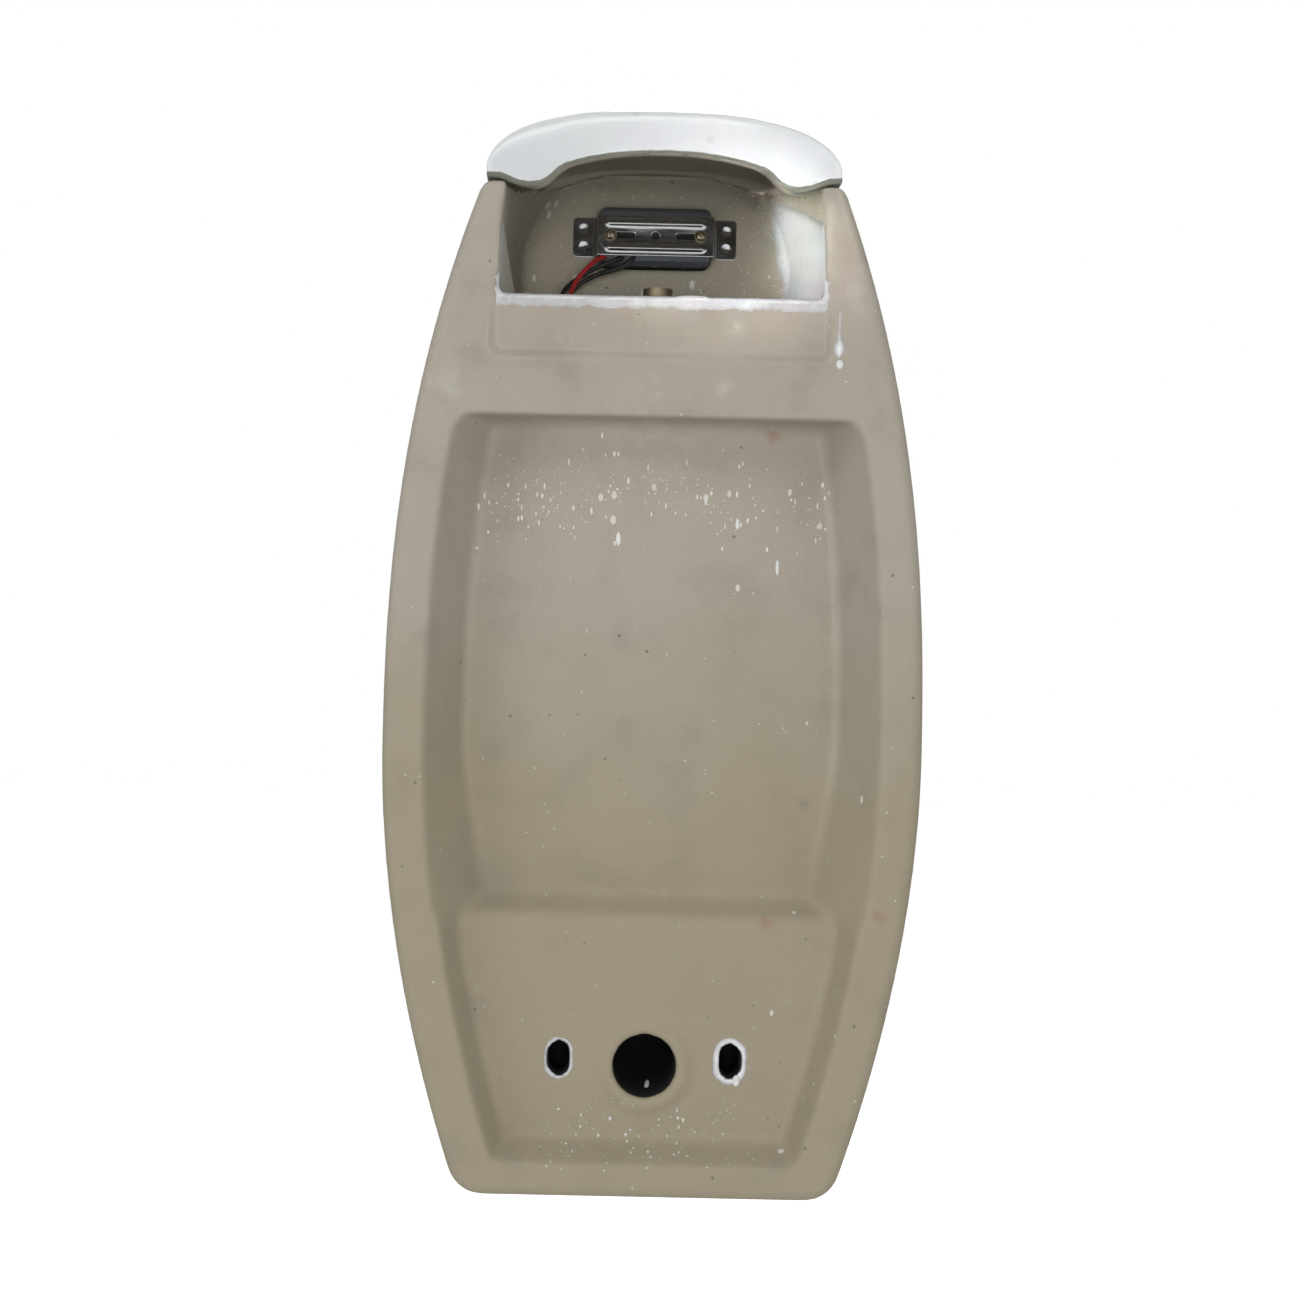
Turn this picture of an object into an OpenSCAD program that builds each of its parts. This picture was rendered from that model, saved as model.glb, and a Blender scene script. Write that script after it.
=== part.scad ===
// Wall-hung urinal in vitreous china, with a lift-off top cover, a service compartment in
// its back and a battery-powered infrared flush.
// Millimetres. The wall is the plane y = 0 and the body stands out from it towards -y.
// z = 0 is the middle of the flat band on the back that the body hangs by.

/* [Body outline] */
// Widest distance across the back
body_w = 362; // [354:1:370]
// Depth from the wall to the tip of the bowl's lip
body_d = 332; // [322:1:342]
// Height of the widest place on the back
widest_z = -240; // [-250:1:-230]
// Height of the underside
bottom_z = -540; // [-548:1:-536]
// Height of the shoulders at the wall
shoulder_z = 139; // [135:1:143]
// Width across the shoulders
shoulder_w = 242; // [238:1:248]
// Width across the underside
foot_w = 250; // [242:1:260]
// Rounding of the lower corners
foot_r = 16; // [12:1:20]
// Depth at the neck, above the bowl's mouth
neck_d = 188; // [184:1:194]
// Depth at the height of the sensor
brow_d = 172; // [170:1:176]
// Rise of the arched front rim above the shoulders
rim_rise = 37; // [32:1:40]

/* [China walls] */
// Thickness of the cast wall
wall = 9; // [8:0.5:10]
// Thickness of the flat wall round the outlet
panel_wall = 22; // [20:1:24]
// Thickness of the wall round the trap's passage
trap_wall = 9; // [7:0.5:10]

/* [Bowl] */
// Half width of the bowl at its widest
bowl_half_w = 127; // [122:1:130]
// Height of the bowl's ceiling
bowl_top_z = -26; // [-28:1:-24]
// Height of the bowl's floor round the strainer
bowl_floor_z = -335; // [-338:1:-332]
// Height of the lip's upper edge
lip_z = -297; // [-302:1:-290]
// Breadth of the lip, front to back
lip_w = 32; // [28:1:36]

/* [Back recess] */
// Breadth of the flat rim that touches the wall
rim_w = 28; // [25:1:30]
// Depth of the groove round the bowl's back
valley_d = 46; // [43:1:48]
// How far the bowl's back bulges out of that groove
bulge = 16; // [13:1:18]
// Depth of the flat panel round the outlet
panel_d = 25; // [23:1:27]
// Height of the ledge that the body hangs by
ledge_z = -18; // [-19:1:-16]
// Foot of the slope between the bulge and the outlet panel
panel_top_z = -355; // [-358:1:-352]

/* [Outlet] */
// Radius of the outlet
outlet_r = 21.5; // [20:0.5:22]
// Height of the outlet
outlet_z = -455; // [-458:1:-452]
// Radius of the raised ring round the outlet
ring_r = 33; // [31:0.5:36]
// Distance between the two fixing slots
slot_pitch = 116; // [112:1:122]
// Width of each fixing slot
slot_w = 14; // [12:0.5:15]
// Height of each fixing slot
slot_h = 23; // [20:0.5:25]
// How far the slots sit above the outlet's axis
slot_rise = 4; // [2:0.5:6]

/* [Service compartment] */
// Thickness of its side walls at the shoulders
shoulder_wall = 14; // [12:0.5:16]
// How much wider its opening is at the lip, on each side
hatch_flare = 4; // [2:0.5:6]
// Thickness of the china in front of it
front_wall = 14; // [12:0.5:15]
// Height of the lip that closes its lower part
hatch_lip_z = 64; // [60:1:68]
// Height of its floor
hatch_floor_z = 6; // [4:1:9]
// Draw of each side wall towards the front
hatch_draw = 10; // [8:1:12]

/* [Top cover] */
// Thickness of the cover's wall
cover_t = 10; // [8:0.5:11]
// Height of the cover's crown above the shoulders
cover_rise = 51; // [49:0.5:53]
// Distance the cover draws in from the body's outline
cover_inset = 2; // [1.5:0.5:3]
// Thickness of the rubber pads under the cover
pad_t = 1.5; // [1:0.25:2.5]
// Height of the middle of the cover's rear edge above the shoulders
cover_edge_rise = 19; // [17:0.5:21]

/* [Sensor] */
// Height of the sensor's centre
sensor_z = 130; // [127:1:133]
// Width of the sensor's housing
sensor_w = 80; // [76:1:84]
// Height of the sensor's housing
sensor_h = 42; // [38:1:44]
// Play of the housing in the hole through the china
sensor_play = 1; // [0.5:0.25:1.5]
// How far the housing stands out behind the china
sensor_back = 12; // [10:0.5:14]
// Rim of the bezel round the housing
bezel_rim = 8; // [6:0.5:9]
// Thickness of the bezel
bezel_t = 4; // [3:0.5:5]

/* [Mounting bracket] */
// Overall length of the bracket
bracket_l = 120; // [114:1:126]
// Width of the bracket
bracket_w = 29; // [26:0.5:31]
// Thickness of its steel
bracket_t = 1.5; // [1:0.25:2]
// Distance between its two screws
screw_pitch = 66; // [62:1:68]
// Radius of a screw's thread
screw_r = 2; // [1.5:0.25:2.25]

/* [Leads] */
// Diameter of each lead
lead_dia = 3.5; // [2.5:0.25:3.5]

/* [Flush valve] */
// Distance of the valve's axis from the wall
valve_d = 80; // [78:1:84]
// Radius of the inlet's thread
inlet_r = 10.4; // [10:0.1:10.6]
// Length of the inlet's thread
inlet_l = 12; // [11:0.5:13]
// Radius of the diaphragm's flange
flange_r = 19; // [18:0.5:20]
// Radius of the coil
coil_r = 15; // [14:0.5:16]
// Length of the coil
coil_l = 26; // [24:0.5:28]
// Radius of the plunger
plunger_r = 3.5; // [3:0.25:4]
// Stroke of the plunger
plunger_stroke = 2.5; // [2:0.25:3]

/* [Spreader] */
// Radius of the spreader's threaded tail
tail_r = 10; // [9.5:0.25:10.25]
// Radius of the spreader's dome
dome_r = 28; // [25:0.5:29]

/* [Battery box] */
// Diameter of one cell
cell_dia = 14.5; // [14.2:0.1:14.6]
// Length of one cell
cell_l = 50; // [49.5:0.25:50.5]
// Wall of the box
box_wall = 2; // [1.75:0.25:2.5]

/* [Strainer] */
// Radius of the strainer's disc
strainer_r = 35; // [32:0.5:36]

/* [Hidden] */

$fn = 48;

// Colours
clay = [0.65, 0.62, 0.57];
glaze = [0.93, 0.94, 0.94];
dark_plastic = [0.20, 0.22, 0.25];
black_plastic = [0.08, 0.08, 0.09];
steel = [0.72, 0.73, 0.75];
zinc = [0.78, 0.68, 0.42];
brass = [0.72, 0.60, 0.35];
rubber = [0.10, 0.10, 0.10];
board_green = [0.10, 0.35, 0.20];

// How far a cut runs past the face that it opens
over = 3;
// Gap between two pieces that only lie against each other
seat_gap = 0.3;
// Half of the gap in a running fit
running = 0.05;

// Body profile
shoulder_half_w = shoulder_w / 2;
upper_taper = body_w / 2 - shoulder_half_w;
lower_taper = (body_w - foot_w) / 2;
neck_z = -20;
lip_reach_z = -300;
brow_z = sensor_z + sensor_h / 2 + bezel_rim + 2;
crown_z = 190;
loft_top_z = 200;
brow_fall = 42;
chin_fall = 142;

// Bowl
bowl_mid_d = 160;
bowl_bottom_half_w = 60;
bowl_neck_half_w = 44;
bowl_wide_low_z = -220;
bowl_wide_top_z = -150;
mouth_d = body_d + 90;
bulge_z = -110;

// Back recess
recess_bottom_z = bottom_z + 23;
slope_h = 13;
slope_rise = 15;
side_slope = 25;
panel_side_slope = 12;
cove_r = 16;

// Where the rear wall of the trap's last turn ends
bend_r = outlet_r + 4.5;
elbow_r = outlet_r + 2.5;
last_leg_d = panel_d + panel_wall + 14;
up_leg_d = last_leg_d + 2 * bend_r;
drain_d = up_leg_d + 2 * bend_r;
trap_low_z = bottom_z + wall + 1 + outlet_r + bend_r;
trap_high_z = bowl_floor_z - wall - trap_wall - 9 - outlet_r - bend_r;

// Compartment. The bezel and the bracket clamp china of the thickness clamped_wall.
hatch_top_half_w = shoulder_half_w - shoulder_wall;
hatch_half_w = hatch_top_half_w + hatch_flare;
hatch_d = min(brow_d, neck_d) - front_wall;
hatch_corner_r = 24;
rim_flat_x = shoulder_half_w - 17;
clamped_wall = 8.5;
seat_d = hatch_d + clamped_wall;

// Openings and seats in the china
ring_h = 3;
ring_bevel = 4;
slot_reach = panel_d + panel_wall + 6;
groove_drop = 42;
groove_h = 60;
groove_w = 2.5;
groove_corner_r = 8;
chamber_top_z = bowl_top_z - 14;
sensor_corner_r = 5;
tail_play = 0.75;
strainer_seat = 4;
bezel_gasket_t = 1.5;
bezel_play = 1.5;
housing_wall = 2;

function lerp(a, b, t) = a + (b - a) * t;
function clamped(t) = min(max(t, 0), 1);
function smooth(t) = let (c = clamped(t)) c * c * (3 - 2 * c);
function steps(a, b, n) = [for (i = [0:n]) lerp(a, b, i / n)];
// Rounding inwards at height h above an edge of radius r
function edge_round(h, r) = h >= r ? 0 : r - sqrt(r * r - (r - h) * (r - h));
// Point of a superellipse quarter, from its side at 0 to its front at 90 degrees
function side_of(t, n) = sign(cos(t)) * pow(abs(cos(t)), 2 / n);
function front_of(t, n) = pow(abs(sin(t)), 2 / n);

// Half width of the body's back at height z
function half_width(z) = (z > widest_z
    ? body_w / 2 - upper_taper * pow((z - widest_z) / (shoulder_z - widest_z), 2.4)
    : body_w / 2 - lower_taper * pow((widest_z - z) / (widest_z - bottom_z), 1.9))
    - edge_round(z - bottom_z, foot_r);

// Depth of the body's front at height z
function front_depth(z) = (z > brow_z
    ? brow_d - brow_fall * pow((z - brow_z) / (crown_z - brow_z), 1.6)
    : z > neck_z ? lerp(neck_d, brow_d, (z - neck_z) / (brow_z - neck_z))
    : z > lip_reach_z ? lerp(neck_d, body_d, smooth((neck_z - z) / (neck_z - lip_reach_z)))
    : body_d - chin_fall * pow((lip_reach_z - z) / (lip_reach_z - bottom_z), 1.6))
    - edge_round(z - bottom_z, 1.5 * foot_r);

// Squareness of the body's plan at height z
function plan_power(z) = lerp(3.8, 2.2, smooth((neck_z - z) / (neck_z - lip_reach_z)));

// Height of the arched rim that carries the cover
function rim_z(x) = abs(x) >= rim_flat_x ? shoulder_z
    : shoulder_z + rim_rise * (1 - pow(abs(x) / rim_flat_x, 3));

// Skin over a stack of rings with the same number of points, lowest ring first.
// Each ring runs clockwise seen from above.
module loft(rings) {
    n = len(rings[0]);
    m = len(rings);
    points = [for (r = rings, p = r) p];
    sides = [for (j = [0:m - 2], i = [0:n - 1])
        let (a = j * n + i, b = j * n + (i + 1) % n) each [[a, b, b + n], [a, b + n, a + n]]];
    low_cap = [for (i = [n - 1:-1:0]) i];
    top_cap = [for (i = [0:n - 1]) (m - 1) * n + i];
    polyhedron(points, concat(sides, [low_cap, top_cap]), convexity = 8);
}

// Outline of the body at height z, drawn in all round by inset
function body_ring(z, inset, back_y) =
    let (w = half_width(z) - inset, d = front_depth(z) - inset, n = plan_power(z))
    concat([[w, back_y, z]],
        [for (t = [0:7.5:180]) [w * side_of(t, n), min(-d * front_of(t, n), back_y), z]],
        [[-w, back_y, z]]);

body_levels = concat(
    [for (h = [0, 0.12, 0.35, 0.7, 1]) bottom_z + foot_r * h],
    steps(bottom_z + foot_r + 26, lip_reach_z, 7),
    steps(lip_reach_z + 28, neck_z, 10),
    steps(neck_z + 38, brow_z, 3),
    steps(brow_z + 14, loft_top_z, 4));

module outer_form() {
    loft([for (z = body_levels) body_ring(z, 0, 2 * over)]);
}

// All that lies behind the wall's face
module behind_wall() {
    translate([-body_w, 0, bottom_z - 10])
        cube([2 * body_w, 20, loft_top_z - bottom_z + 40]);
}

// All that lies above the arched rim
module above_rim() {
    top = loft_top_z + 20;
    arch = [for (x = [-rim_flat_x:rim_flat_x / 16:rim_flat_x]) [x, rim_z(x)]];
    outline = concat([[-body_w, top], [-body_w, shoulder_z]], arch,
        [[body_w, shoulder_z], [body_w, top]]);
    translate([0, over, 0]) rotate([90, 0, 0])
        linear_extrude(body_d) polygon(outline);
}

// Depth of the recess over the bowl's back
function bulge_share(z) = z > bulge_z
    ? 1 - 0.25 * pow((z - bulge_z) / (ledge_z - bulge_z), 2)
    : 1 - pow((bulge_z - z) / (bulge_z - (panel_top_z + slope_rise)), 2);
function recess_floor(x, z, foot) = z < panel_top_z ? panel_d
    : valley_d - bulge * max(bulge_share(z), 0) * (1 - pow(abs(x) / foot, 3));

// Rounded foot of the recess's side slopes: share of the way out to the edge, and of the depth
foot_points = [[0.5, 0.5], [0.26, 0.72], [0.1, 0.87]];

// Outline of the recess at height z
function recess_ring(z) =
    let (low = z <= panel_top_z,
        edge = half_width(z) - rim_w - (low ? 3 : 0),
        slope = low ? panel_side_slope : side_slope,
        floor_d = low ? panel_d : valley_d,
        foot = edge - slope,
        flare = slope * over / floor_d,
        cove = edge_round(max(ledge_z - z, 0), cove_r))
    concat([[edge + flare, over, z]],
        [for (p = foot_points) [foot + slope * p[0], cove - floor_d * p[1], z]],
        [for (x = steps(foot - 2, 2 - foot, 14)) [x, cove - recess_floor(x, z, foot), z]],
        [for (i = [len(foot_points) - 1:-1:0]) let (p = foot_points[i])
            [-foot - slope * p[0], cove - floor_d * p[1], z]],
        [[-edge - flare, over, z]]);

recess_levels = concat([panel_top_z + slope_rise], steps(-320, -60, 10),
    [for (h = [28, 18, 11, 6, 2.5, 0.7, -over]) ledge_z - h]);

// The recess in the back, up to a little above the ledge
module recess_form() {
    foot_z = recess_bottom_z + slope_h;
    shallow = [for (p = recess_ring(recess_bottom_z)) [p[0], max(p[1], 1), recess_bottom_z - 0.5]];
    panel = [for (z = steps(foot_z + 40, panel_top_z, 3)) recess_ring(z)];
    upper = [for (z = recess_levels) recess_ring(z)];
    loft(concat([shallow, recess_ring(foot_z)], panel, upper));
}

// All above the flat ledge that the body hangs by
module above_ledge() {
    translate([-body_w, -body_d, ledge_z]) cube([2 * body_w, 2 * body_d, 40]);
}

// Half width, back and front of the bowl at height z
function bowl_half_width(z) = z < bowl_wide_low_z
    ? lerp(bowl_bottom_half_w, bowl_half_w,
        sqrt(max(0, 1 - pow((bowl_wide_low_z - z) / (bowl_wide_low_z - bowl_floor_z), 3))))
    : z < bowl_wide_top_z ? bowl_half_w
    : lerp(bowl_neck_half_w, bowl_half_w,
        sqrt(max(0, 1 - pow((z - bowl_wide_top_z) / (bowl_top_z - bowl_wide_top_z), 3))));
function bowl_back(z) = valley_d + wall - bulge * max(bulge_share(z), 0);
function bowl_front(z) = lerp(drain_d + bowl_bottom_half_w, body_d - lip_w,
    sqrt(max(0, 1 - pow((lip_z - z) / (lip_z - bowl_floor_z), 2.2))));

// Outline of the bowl at height z
function bowl_ring(z, front_d) =
    let (w = bowl_half_width(z), ahead = front_d - bowl_mid_d, behind = bowl_mid_d - bowl_back(z))
    [for (t = [0:15:345])
        [w * side_of(t, 2.8), -bowl_mid_d - (t <= 180 ? ahead : -behind) * front_of(t, 2.8), z]];

module bowl_form() {
    low = [for (z = steps(bowl_floor_z, lip_z, 4)) bowl_ring(z, bowl_front(z))];
    high = [for (z = concat([lip_z], steps(-270, -60, 8), [-48, -38, -31, bowl_top_z]))
        bowl_ring(z, mouth_d)];
    loft(concat(low, high));
}

// Half width of the compartment at its front, at height z
function hatch_front_half_w(z) = hatch_half_w - hatch_draw - 3
    - (z > 100 ? 37 * pow((z - 100) / 77, 2) : 0);

// Outline of the service compartment at height z
function hatch_ring(z, back_y) =
    let (closed = back_y < 0,
        back_w = closed ? hatch_half_w - 3
            : lerp(hatch_half_w, hatch_top_half_w, (z - hatch_lip_z) / (shoulder_z - hatch_lip_z)),
        front_w = hatch_front_half_w(z),
        d = min(hatch_d, front_depth(z) - front_wall),
        r = hatch_corner_r)
    concat([[back_w, back_y, z]],
        [for (t = [0:22.5:90]) [front_w - r + r * cos(t), -d + r - r * sin(t), z]],
        [for (t = [90:22.5:180]) [-front_w + r + r * cos(t), -d + r - r * sin(t), z]],
        [[-back_w, back_y, z]]);

module hatch_form() {
    pocket = [for (z = [hatch_floor_z, hatch_lip_z]) hatch_ring(z, -wall)];
    opening = [for (z = concat([hatch_lip_z], steps(100, loft_top_z + 8, 7))) hatch_ring(z, over)];
    loft(concat(pocket, opening));
}

// Rectangle with rounded corners about the origin
module rounded_rect(w, h, r) {
    square([w - 2 * r, h], center = true);
    square([w, h - 2 * r], center = true);
    for (x = [-1, 1], y = [-1, 1]) translate([x * (w / 2 - r), y * (h / 2 - r)]) circle(r);
}

// Draws a flat outline in the plane of the wall at height z, and pushes it from depth near
// to depth far
module pushed(z, near, far) {
    translate([0, -near, z]) rotate([90, 0, 0]) linear_extrude(far - near) children();
}

// Cylinder along y at height z, from depth near to depth far
module bar_y(x, z, near, far, r) {
    translate([x, -near, z]) rotate([90, 0, 0]) cylinder(r = r, h = far - near);
}

// Upright leg of the trap at depth d
module leg(d, low, high, r) {
    translate([0, -d, low]) cylinder(r = r, h = high - low);
}

// Turn of the trap about a centre at depth d and height z. It starts at angle from, where
// 0 points to the wall and 90 points up.
module turn(d, z, from, sweep, about_r, r) {
    translate([0, -d, z]) rotate([90, 0, 90]) rotate([0, 0, from])
        rotate_extrude(angle = sweep) translate([about_r, 0]) circle(r);
}

// The trap: down from the bowl, round, up over the weir, down and out to the wall
module trap_path(r, low_end) {
    leg(drain_d, trap_low_z, bowl_floor_z, r);
    turn(up_leg_d + bend_r, trap_low_z, 180, 180, bend_r, r);
    leg(up_leg_d, trap_low_z, trap_high_z, r);
    turn(last_leg_d + bend_r, trap_high_z, 0, 180, bend_r, r);
    leg(last_leg_d, outlet_z + elbow_r, trap_high_z, r);
    turn(last_leg_d - elbow_r, outlet_z + elbow_r, 180, 90, elbow_r, r);
    bar_y(0, outlet_z, low_end, last_leg_d - elbow_r, r);
}

// Where the side chambers of the casting end towards the middle, at height z
function chamber_inner(z) = z > bowl_floor_z + wall ? bowl_half_width(z - wall) + wall
    : z > bowl_floor_z - wall ? bowl_bottom_half_w + wall : outlet_r + 1.2 * wall;
function chamber_back(z) = z > panel_top_z + wall ? valley_d + wall : panel_d + panel_wall;

// Outline of one side chamber at height z
function chamber_ring(z) =
    let (w = half_width(z) - wall,
        d = front_depth(z) - wall,
        n = plan_power(z),
        back_d = chamber_back(z),
        inner = min(chamber_inner(z), w - 6),
        front_a = acos(pow(inner / w, n / 2)),
        back_a = min(asin(pow(min(back_d / d, 1), n / 2)), front_a - 4))
    concat([[inner, -back_d, z]],
        [for (t = steps(back_a, front_a, 9)) [w * side_of(t, n), -max(back_d, d * front_of(t, n)), z]]);

// Hollow chamber between the bowl and the side of the casting, open to the fixing slot
module side_chamber() {
    loft([for (z = concat(steps(bottom_z + 1.5 * wall, bowl_floor_z - wall - 1, 6),
        steps(bowl_floor_z - wall + 1, chamber_top_z, 12))) chamber_ring(z)]);
}

module fixing_slots() {
    for (x = [-1, 1] * slot_pitch / 2, s = [-1, 1])
        bar_y(x, outlet_z + slot_rise + s * (slot_h - slot_w) / 2, -over, slot_reach, slot_w / 2);
    for (x = [-1, 1] * slot_pitch / 2)
        translate([x - slot_w / 2, -slot_reach, outlet_z + slot_rise - (slot_h - slot_w) / 2])
            cube([slot_w, slot_reach + over, slot_h - slot_w]);
}

// Raised ring that the outlet's seal presses on
module outlet_ring() {
    translate([0, -panel_d - 1, outlet_z]) rotate([-90, 0, 0])
        cylinder(r1 = ring_r, r2 = ring_r - ring_bevel, h = ring_h + 1);
}

// Shallow groove left by the mould below the compartment's lip
module mould_groove() {
    half_w = hatch_half_w + 3;
    low = hatch_lip_z - groove_drop;
    pushed(low + groove_h / 2, -over, 1) difference() {
        rounded_rect(2 * half_w, groove_h, groove_corner_r);
        rounded_rect(2 * (half_w - groove_w), groove_h - 2 * groove_w, groove_corner_r - groove_w);
        translate([-body_w, 0]) square([2 * body_w, groove_h]);
    }
}

module sensor_hole(play, near, far) {
    pushed(sensor_z, near, far)
        rounded_rect(sensor_w + 2 * play, sensor_h + 2 * play, sensor_corner_r + play);
}

module china_body() {
    color(clay) difference() {
        outer_form();
        behind_wall();
        above_rim();
        difference() {
            recess_form();
            above_ledge();
            outlet_ring();
        }
        bowl_form();
        hatch_form();
        mould_groove();
        side_chamber();
        mirror([1, 0, 0]) side_chamber();
        trap_path(outlet_r, -over);
        fixing_slots();
        sensor_hole(sensor_play, hatch_d - 5, body_d);
        pushed(sensor_z, seat_d, body_d)
            rounded_rect(sensor_w + 2 * bezel_rim + 2 * bezel_play,
                sensor_h + 2 * bezel_rim + 2 * bezel_play, sensor_corner_r + bezel_rim);
        leg(valve_d, bowl_top_z - over, hatch_floor_z + over, tail_r + tail_play);
        leg(drain_d, bowl_floor_z - strainer_seat, bowl_floor_z + over, strainer_r + 1);
    }
}

// Height of the cover's lower rear edge at distance x from the middle: an arch between two
// lobes that drop inside the shoulders
cover_edge_points = [[0, 0], [34, -1], [55, -4], [65, -7.5], [72, -12], [80, -18], [86, -22],
    [94, -24], [101, -21.5], [105, -18]];
cover_edge_xs = [for (p = cover_edge_points) p[0]];
max_edge_x = max(cover_edge_xs);
function cover_edge_z(x) = shoulder_z + cover_edge_rise + lookup(abs(x), cover_edge_points);

// Place on the body's rim at plan angle t, found by stepping between outline and rim
function rim_place(t, inset, z, left) =
    let (n = plan_power(z), x = (half_width(z) - inset) * side_of(t, n))
    left == 0 ? [x, -(front_depth(z) - inset) * front_of(t, n), rim_z(x)]
    : rim_place(t, inset, rim_z(x), left - 1);

// Height of the cover's top over the place x, y
cover_side_h = 7;
cover_mid_d = 60;
function cover_top_z(x, y) = let (w = shoulder_half_w + 0.5)
    shoulder_z + cover_side_h + (cover_rise - cover_side_h) * sqrt(1 - pow(min(abs(x) / w, 1), 3))
    - 2 * smooth((-y - cover_mid_d) / 100);

// Lower edge of the cover, drawn in all round by inset, with its back at depth back_d
function cover_outline(inset, back_d) =
    let (wide = half_width(shoulder_z) - inset,
        backs = concat([for (i = [len(cover_edge_xs) - 1:-1:1]) -cover_edge_xs[i]], cover_edge_xs))
    concat([for (t = [0:7.5:180]) let (p = rim_place(t, inset, shoulder_z, 5))
            [p[0], min(p[1], -back_d), p[2] + pad_t + seat_gap]],
        [for (x = backs) [x * min(1, (wide - 1) / (max_edge_x + 1)), -back_d, cover_edge_z(x)]]);

// Ring of the cover's skin: the outline drawn towards the middle by share s and raised
function cover_ring(outline, s, drop, floor_gap) =
    [for (p = outline)
        let (x = p[0] * s, y = (p[1] + cover_mid_d) * s - cover_mid_d,
            top = max(cover_top_z(x, y) - drop, rim_z(x) + pad_t + seat_gap + floor_gap),
            lift = pow(1 - pow(s, 8), 1 / 8))
        [x, y, p[2] + max(top - p[2], 0) * lift]];

module top_cover() {
    outside = cover_outline(cover_inset, 0.3);
    inside = cover_outline(cover_inset + cover_t, cover_t);
    color(glaze) loft(concat(
        [for (s = [0.2, 0.5, 0.8, 0.94, 0.99]) cover_ring(inside, s, cover_t, 0.5)],
        [inside, outside],
        [for (s = [0.996, 0.98, 0.95, 0.9, 0.8, 0.6, 0.35, 0.15]) cover_ring(outside, s, 0, 2)]));
}

// Rubber pads that the cover rests on
pad_r = 3.5;
pad_inset = 8;
pad_depths = [14, 44];
module cover_pads() {
    color(rubber) for (x = [-1, 1] * (shoulder_half_w - pad_inset), d = pad_depths)
        translate([x, -d, shoulder_z]) cylinder(r = pad_r, h = pad_t);
}

// Sensor, put in from the front through the hole in the china
sensor_front_d = seat_d + bezel_gasket_t;
sensor_rear_d = hatch_d - sensor_back;
rib_w = 1.5;
rib_pitch = sensor_w * 0.275;

module sensor_outline(grow) {
    rounded_rect(sensor_w + 2 * grow, sensor_h + 2 * grow, max(sensor_corner_r + grow, 1));
}

module sensor_housing() {
    color(dark_plastic) {
        difference() {
            pushed(sensor_z, sensor_rear_d, sensor_front_d + bezel_t - 1) sensor_outline(0);
            pushed(sensor_z, sensor_rear_d + housing_wall, body_d) sensor_outline(-housing_wall);
            for (x = [-1, 1] * screw_pitch / 2)
                bar_y(x, sensor_z, sensor_rear_d - 1, sensor_rear_d + housing_wall + 1, screw_r - 0.2);
            // Chamfer along the rear's upper and lower edge
            for (s = [-1, 1]) translate([-sensor_w, -sensor_rear_d, sensor_z + s * sensor_h / 2])
                rotate([45, 0, 0]) translate([0, -housing_wall, -housing_wall])
                    cube([2 * sensor_w, 2 * housing_wall, 2 * housing_wall]);
        }
        // Ribs under the part that stands out behind the china
        for (i = [-1:1])
            translate([i * rib_pitch - rib_w / 2, 1 - hatch_d, sensor_z - sensor_h / 2 - 0.8])
                cube([rib_w, sensor_back - 5, 1.2]);
    }
}

module sensor_gasket() {
    color(rubber) pushed(sensor_z, seat_d, sensor_front_d) difference() {
        sensor_outline(bezel_rim - 1);
        sensor_outline(sensor_play);
    }
}

module sensor_bezel() {
    color(steel) pushed(sensor_z, sensor_front_d, sensor_front_d + bezel_t) difference() {
        sensor_outline(bezel_rim);
        sensor_outline(running);
    }
}

module sensor_window() {
    color(black_plastic) pushed(sensor_z, sensor_front_d + bezel_t - 1, sensor_front_d + bezel_t + 1)
        sensor_outline(-running);
}

board_d = sensor_rear_d + housing_wall + 6;
board_t = 1.6;
board_half_w = sensor_w / 2 - housing_wall;
chip = [sensor_w * 0.15, 1.6, sensor_w * 0.15];
connector = [sensor_w * 0.125, 5, 6];
capacitor_r = 4;
capacitor_h = 9;

module sensor_board() {
    board_half_h = sensor_h / 2 - housing_wall;
    color(board_green) {
        pushed(sensor_z, board_d, board_d + board_t) sensor_outline(-housing_wall - 0.3);
        // Controller, capacitor and connector on the board
        translate([-chip[0] / 2, -board_d - board_t - chip[1] + 0.1, sensor_z - board_half_h + 2]) cube(chip);
        bar_y(sensor_w * 0.325, sensor_z + board_half_h - 11, board_d + board_t - 0.1,
            board_d + capacitor_h, capacitor_r);
        translate([4 - board_half_w, -board_d - board_t - connector[1] + 0.1, sensor_z - board_half_h + 7])
            cube(connector);
    }
}

// Dome-fronted light part, carried by the board and looking through the window
module light_part(x, r) {
    bar_y(x, sensor_z, board_d + board_t, sensor_front_d - 4, r);
    translate([x, -(sensor_front_d - 4), sensor_z]) sphere(r);
}

module infrared_emitter() { color("lavender") light_part(-sensor_w / 5, 2.5); }
module infrared_receiver() { color(black_plastic) light_part(sensor_w / 5, 2.5); }
module status_lamp() { color("red") light_part(0, 1.5); }

// Chromed steel strap that draws the sensor back against the china
tab_l = (bracket_l - sensor_w) / 2 - 4;
ridge_w = 3;
ridge_offset = bracket_w * 0.31;
corner_cut = 2.5;
bracket_slot_l = 16;

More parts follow.
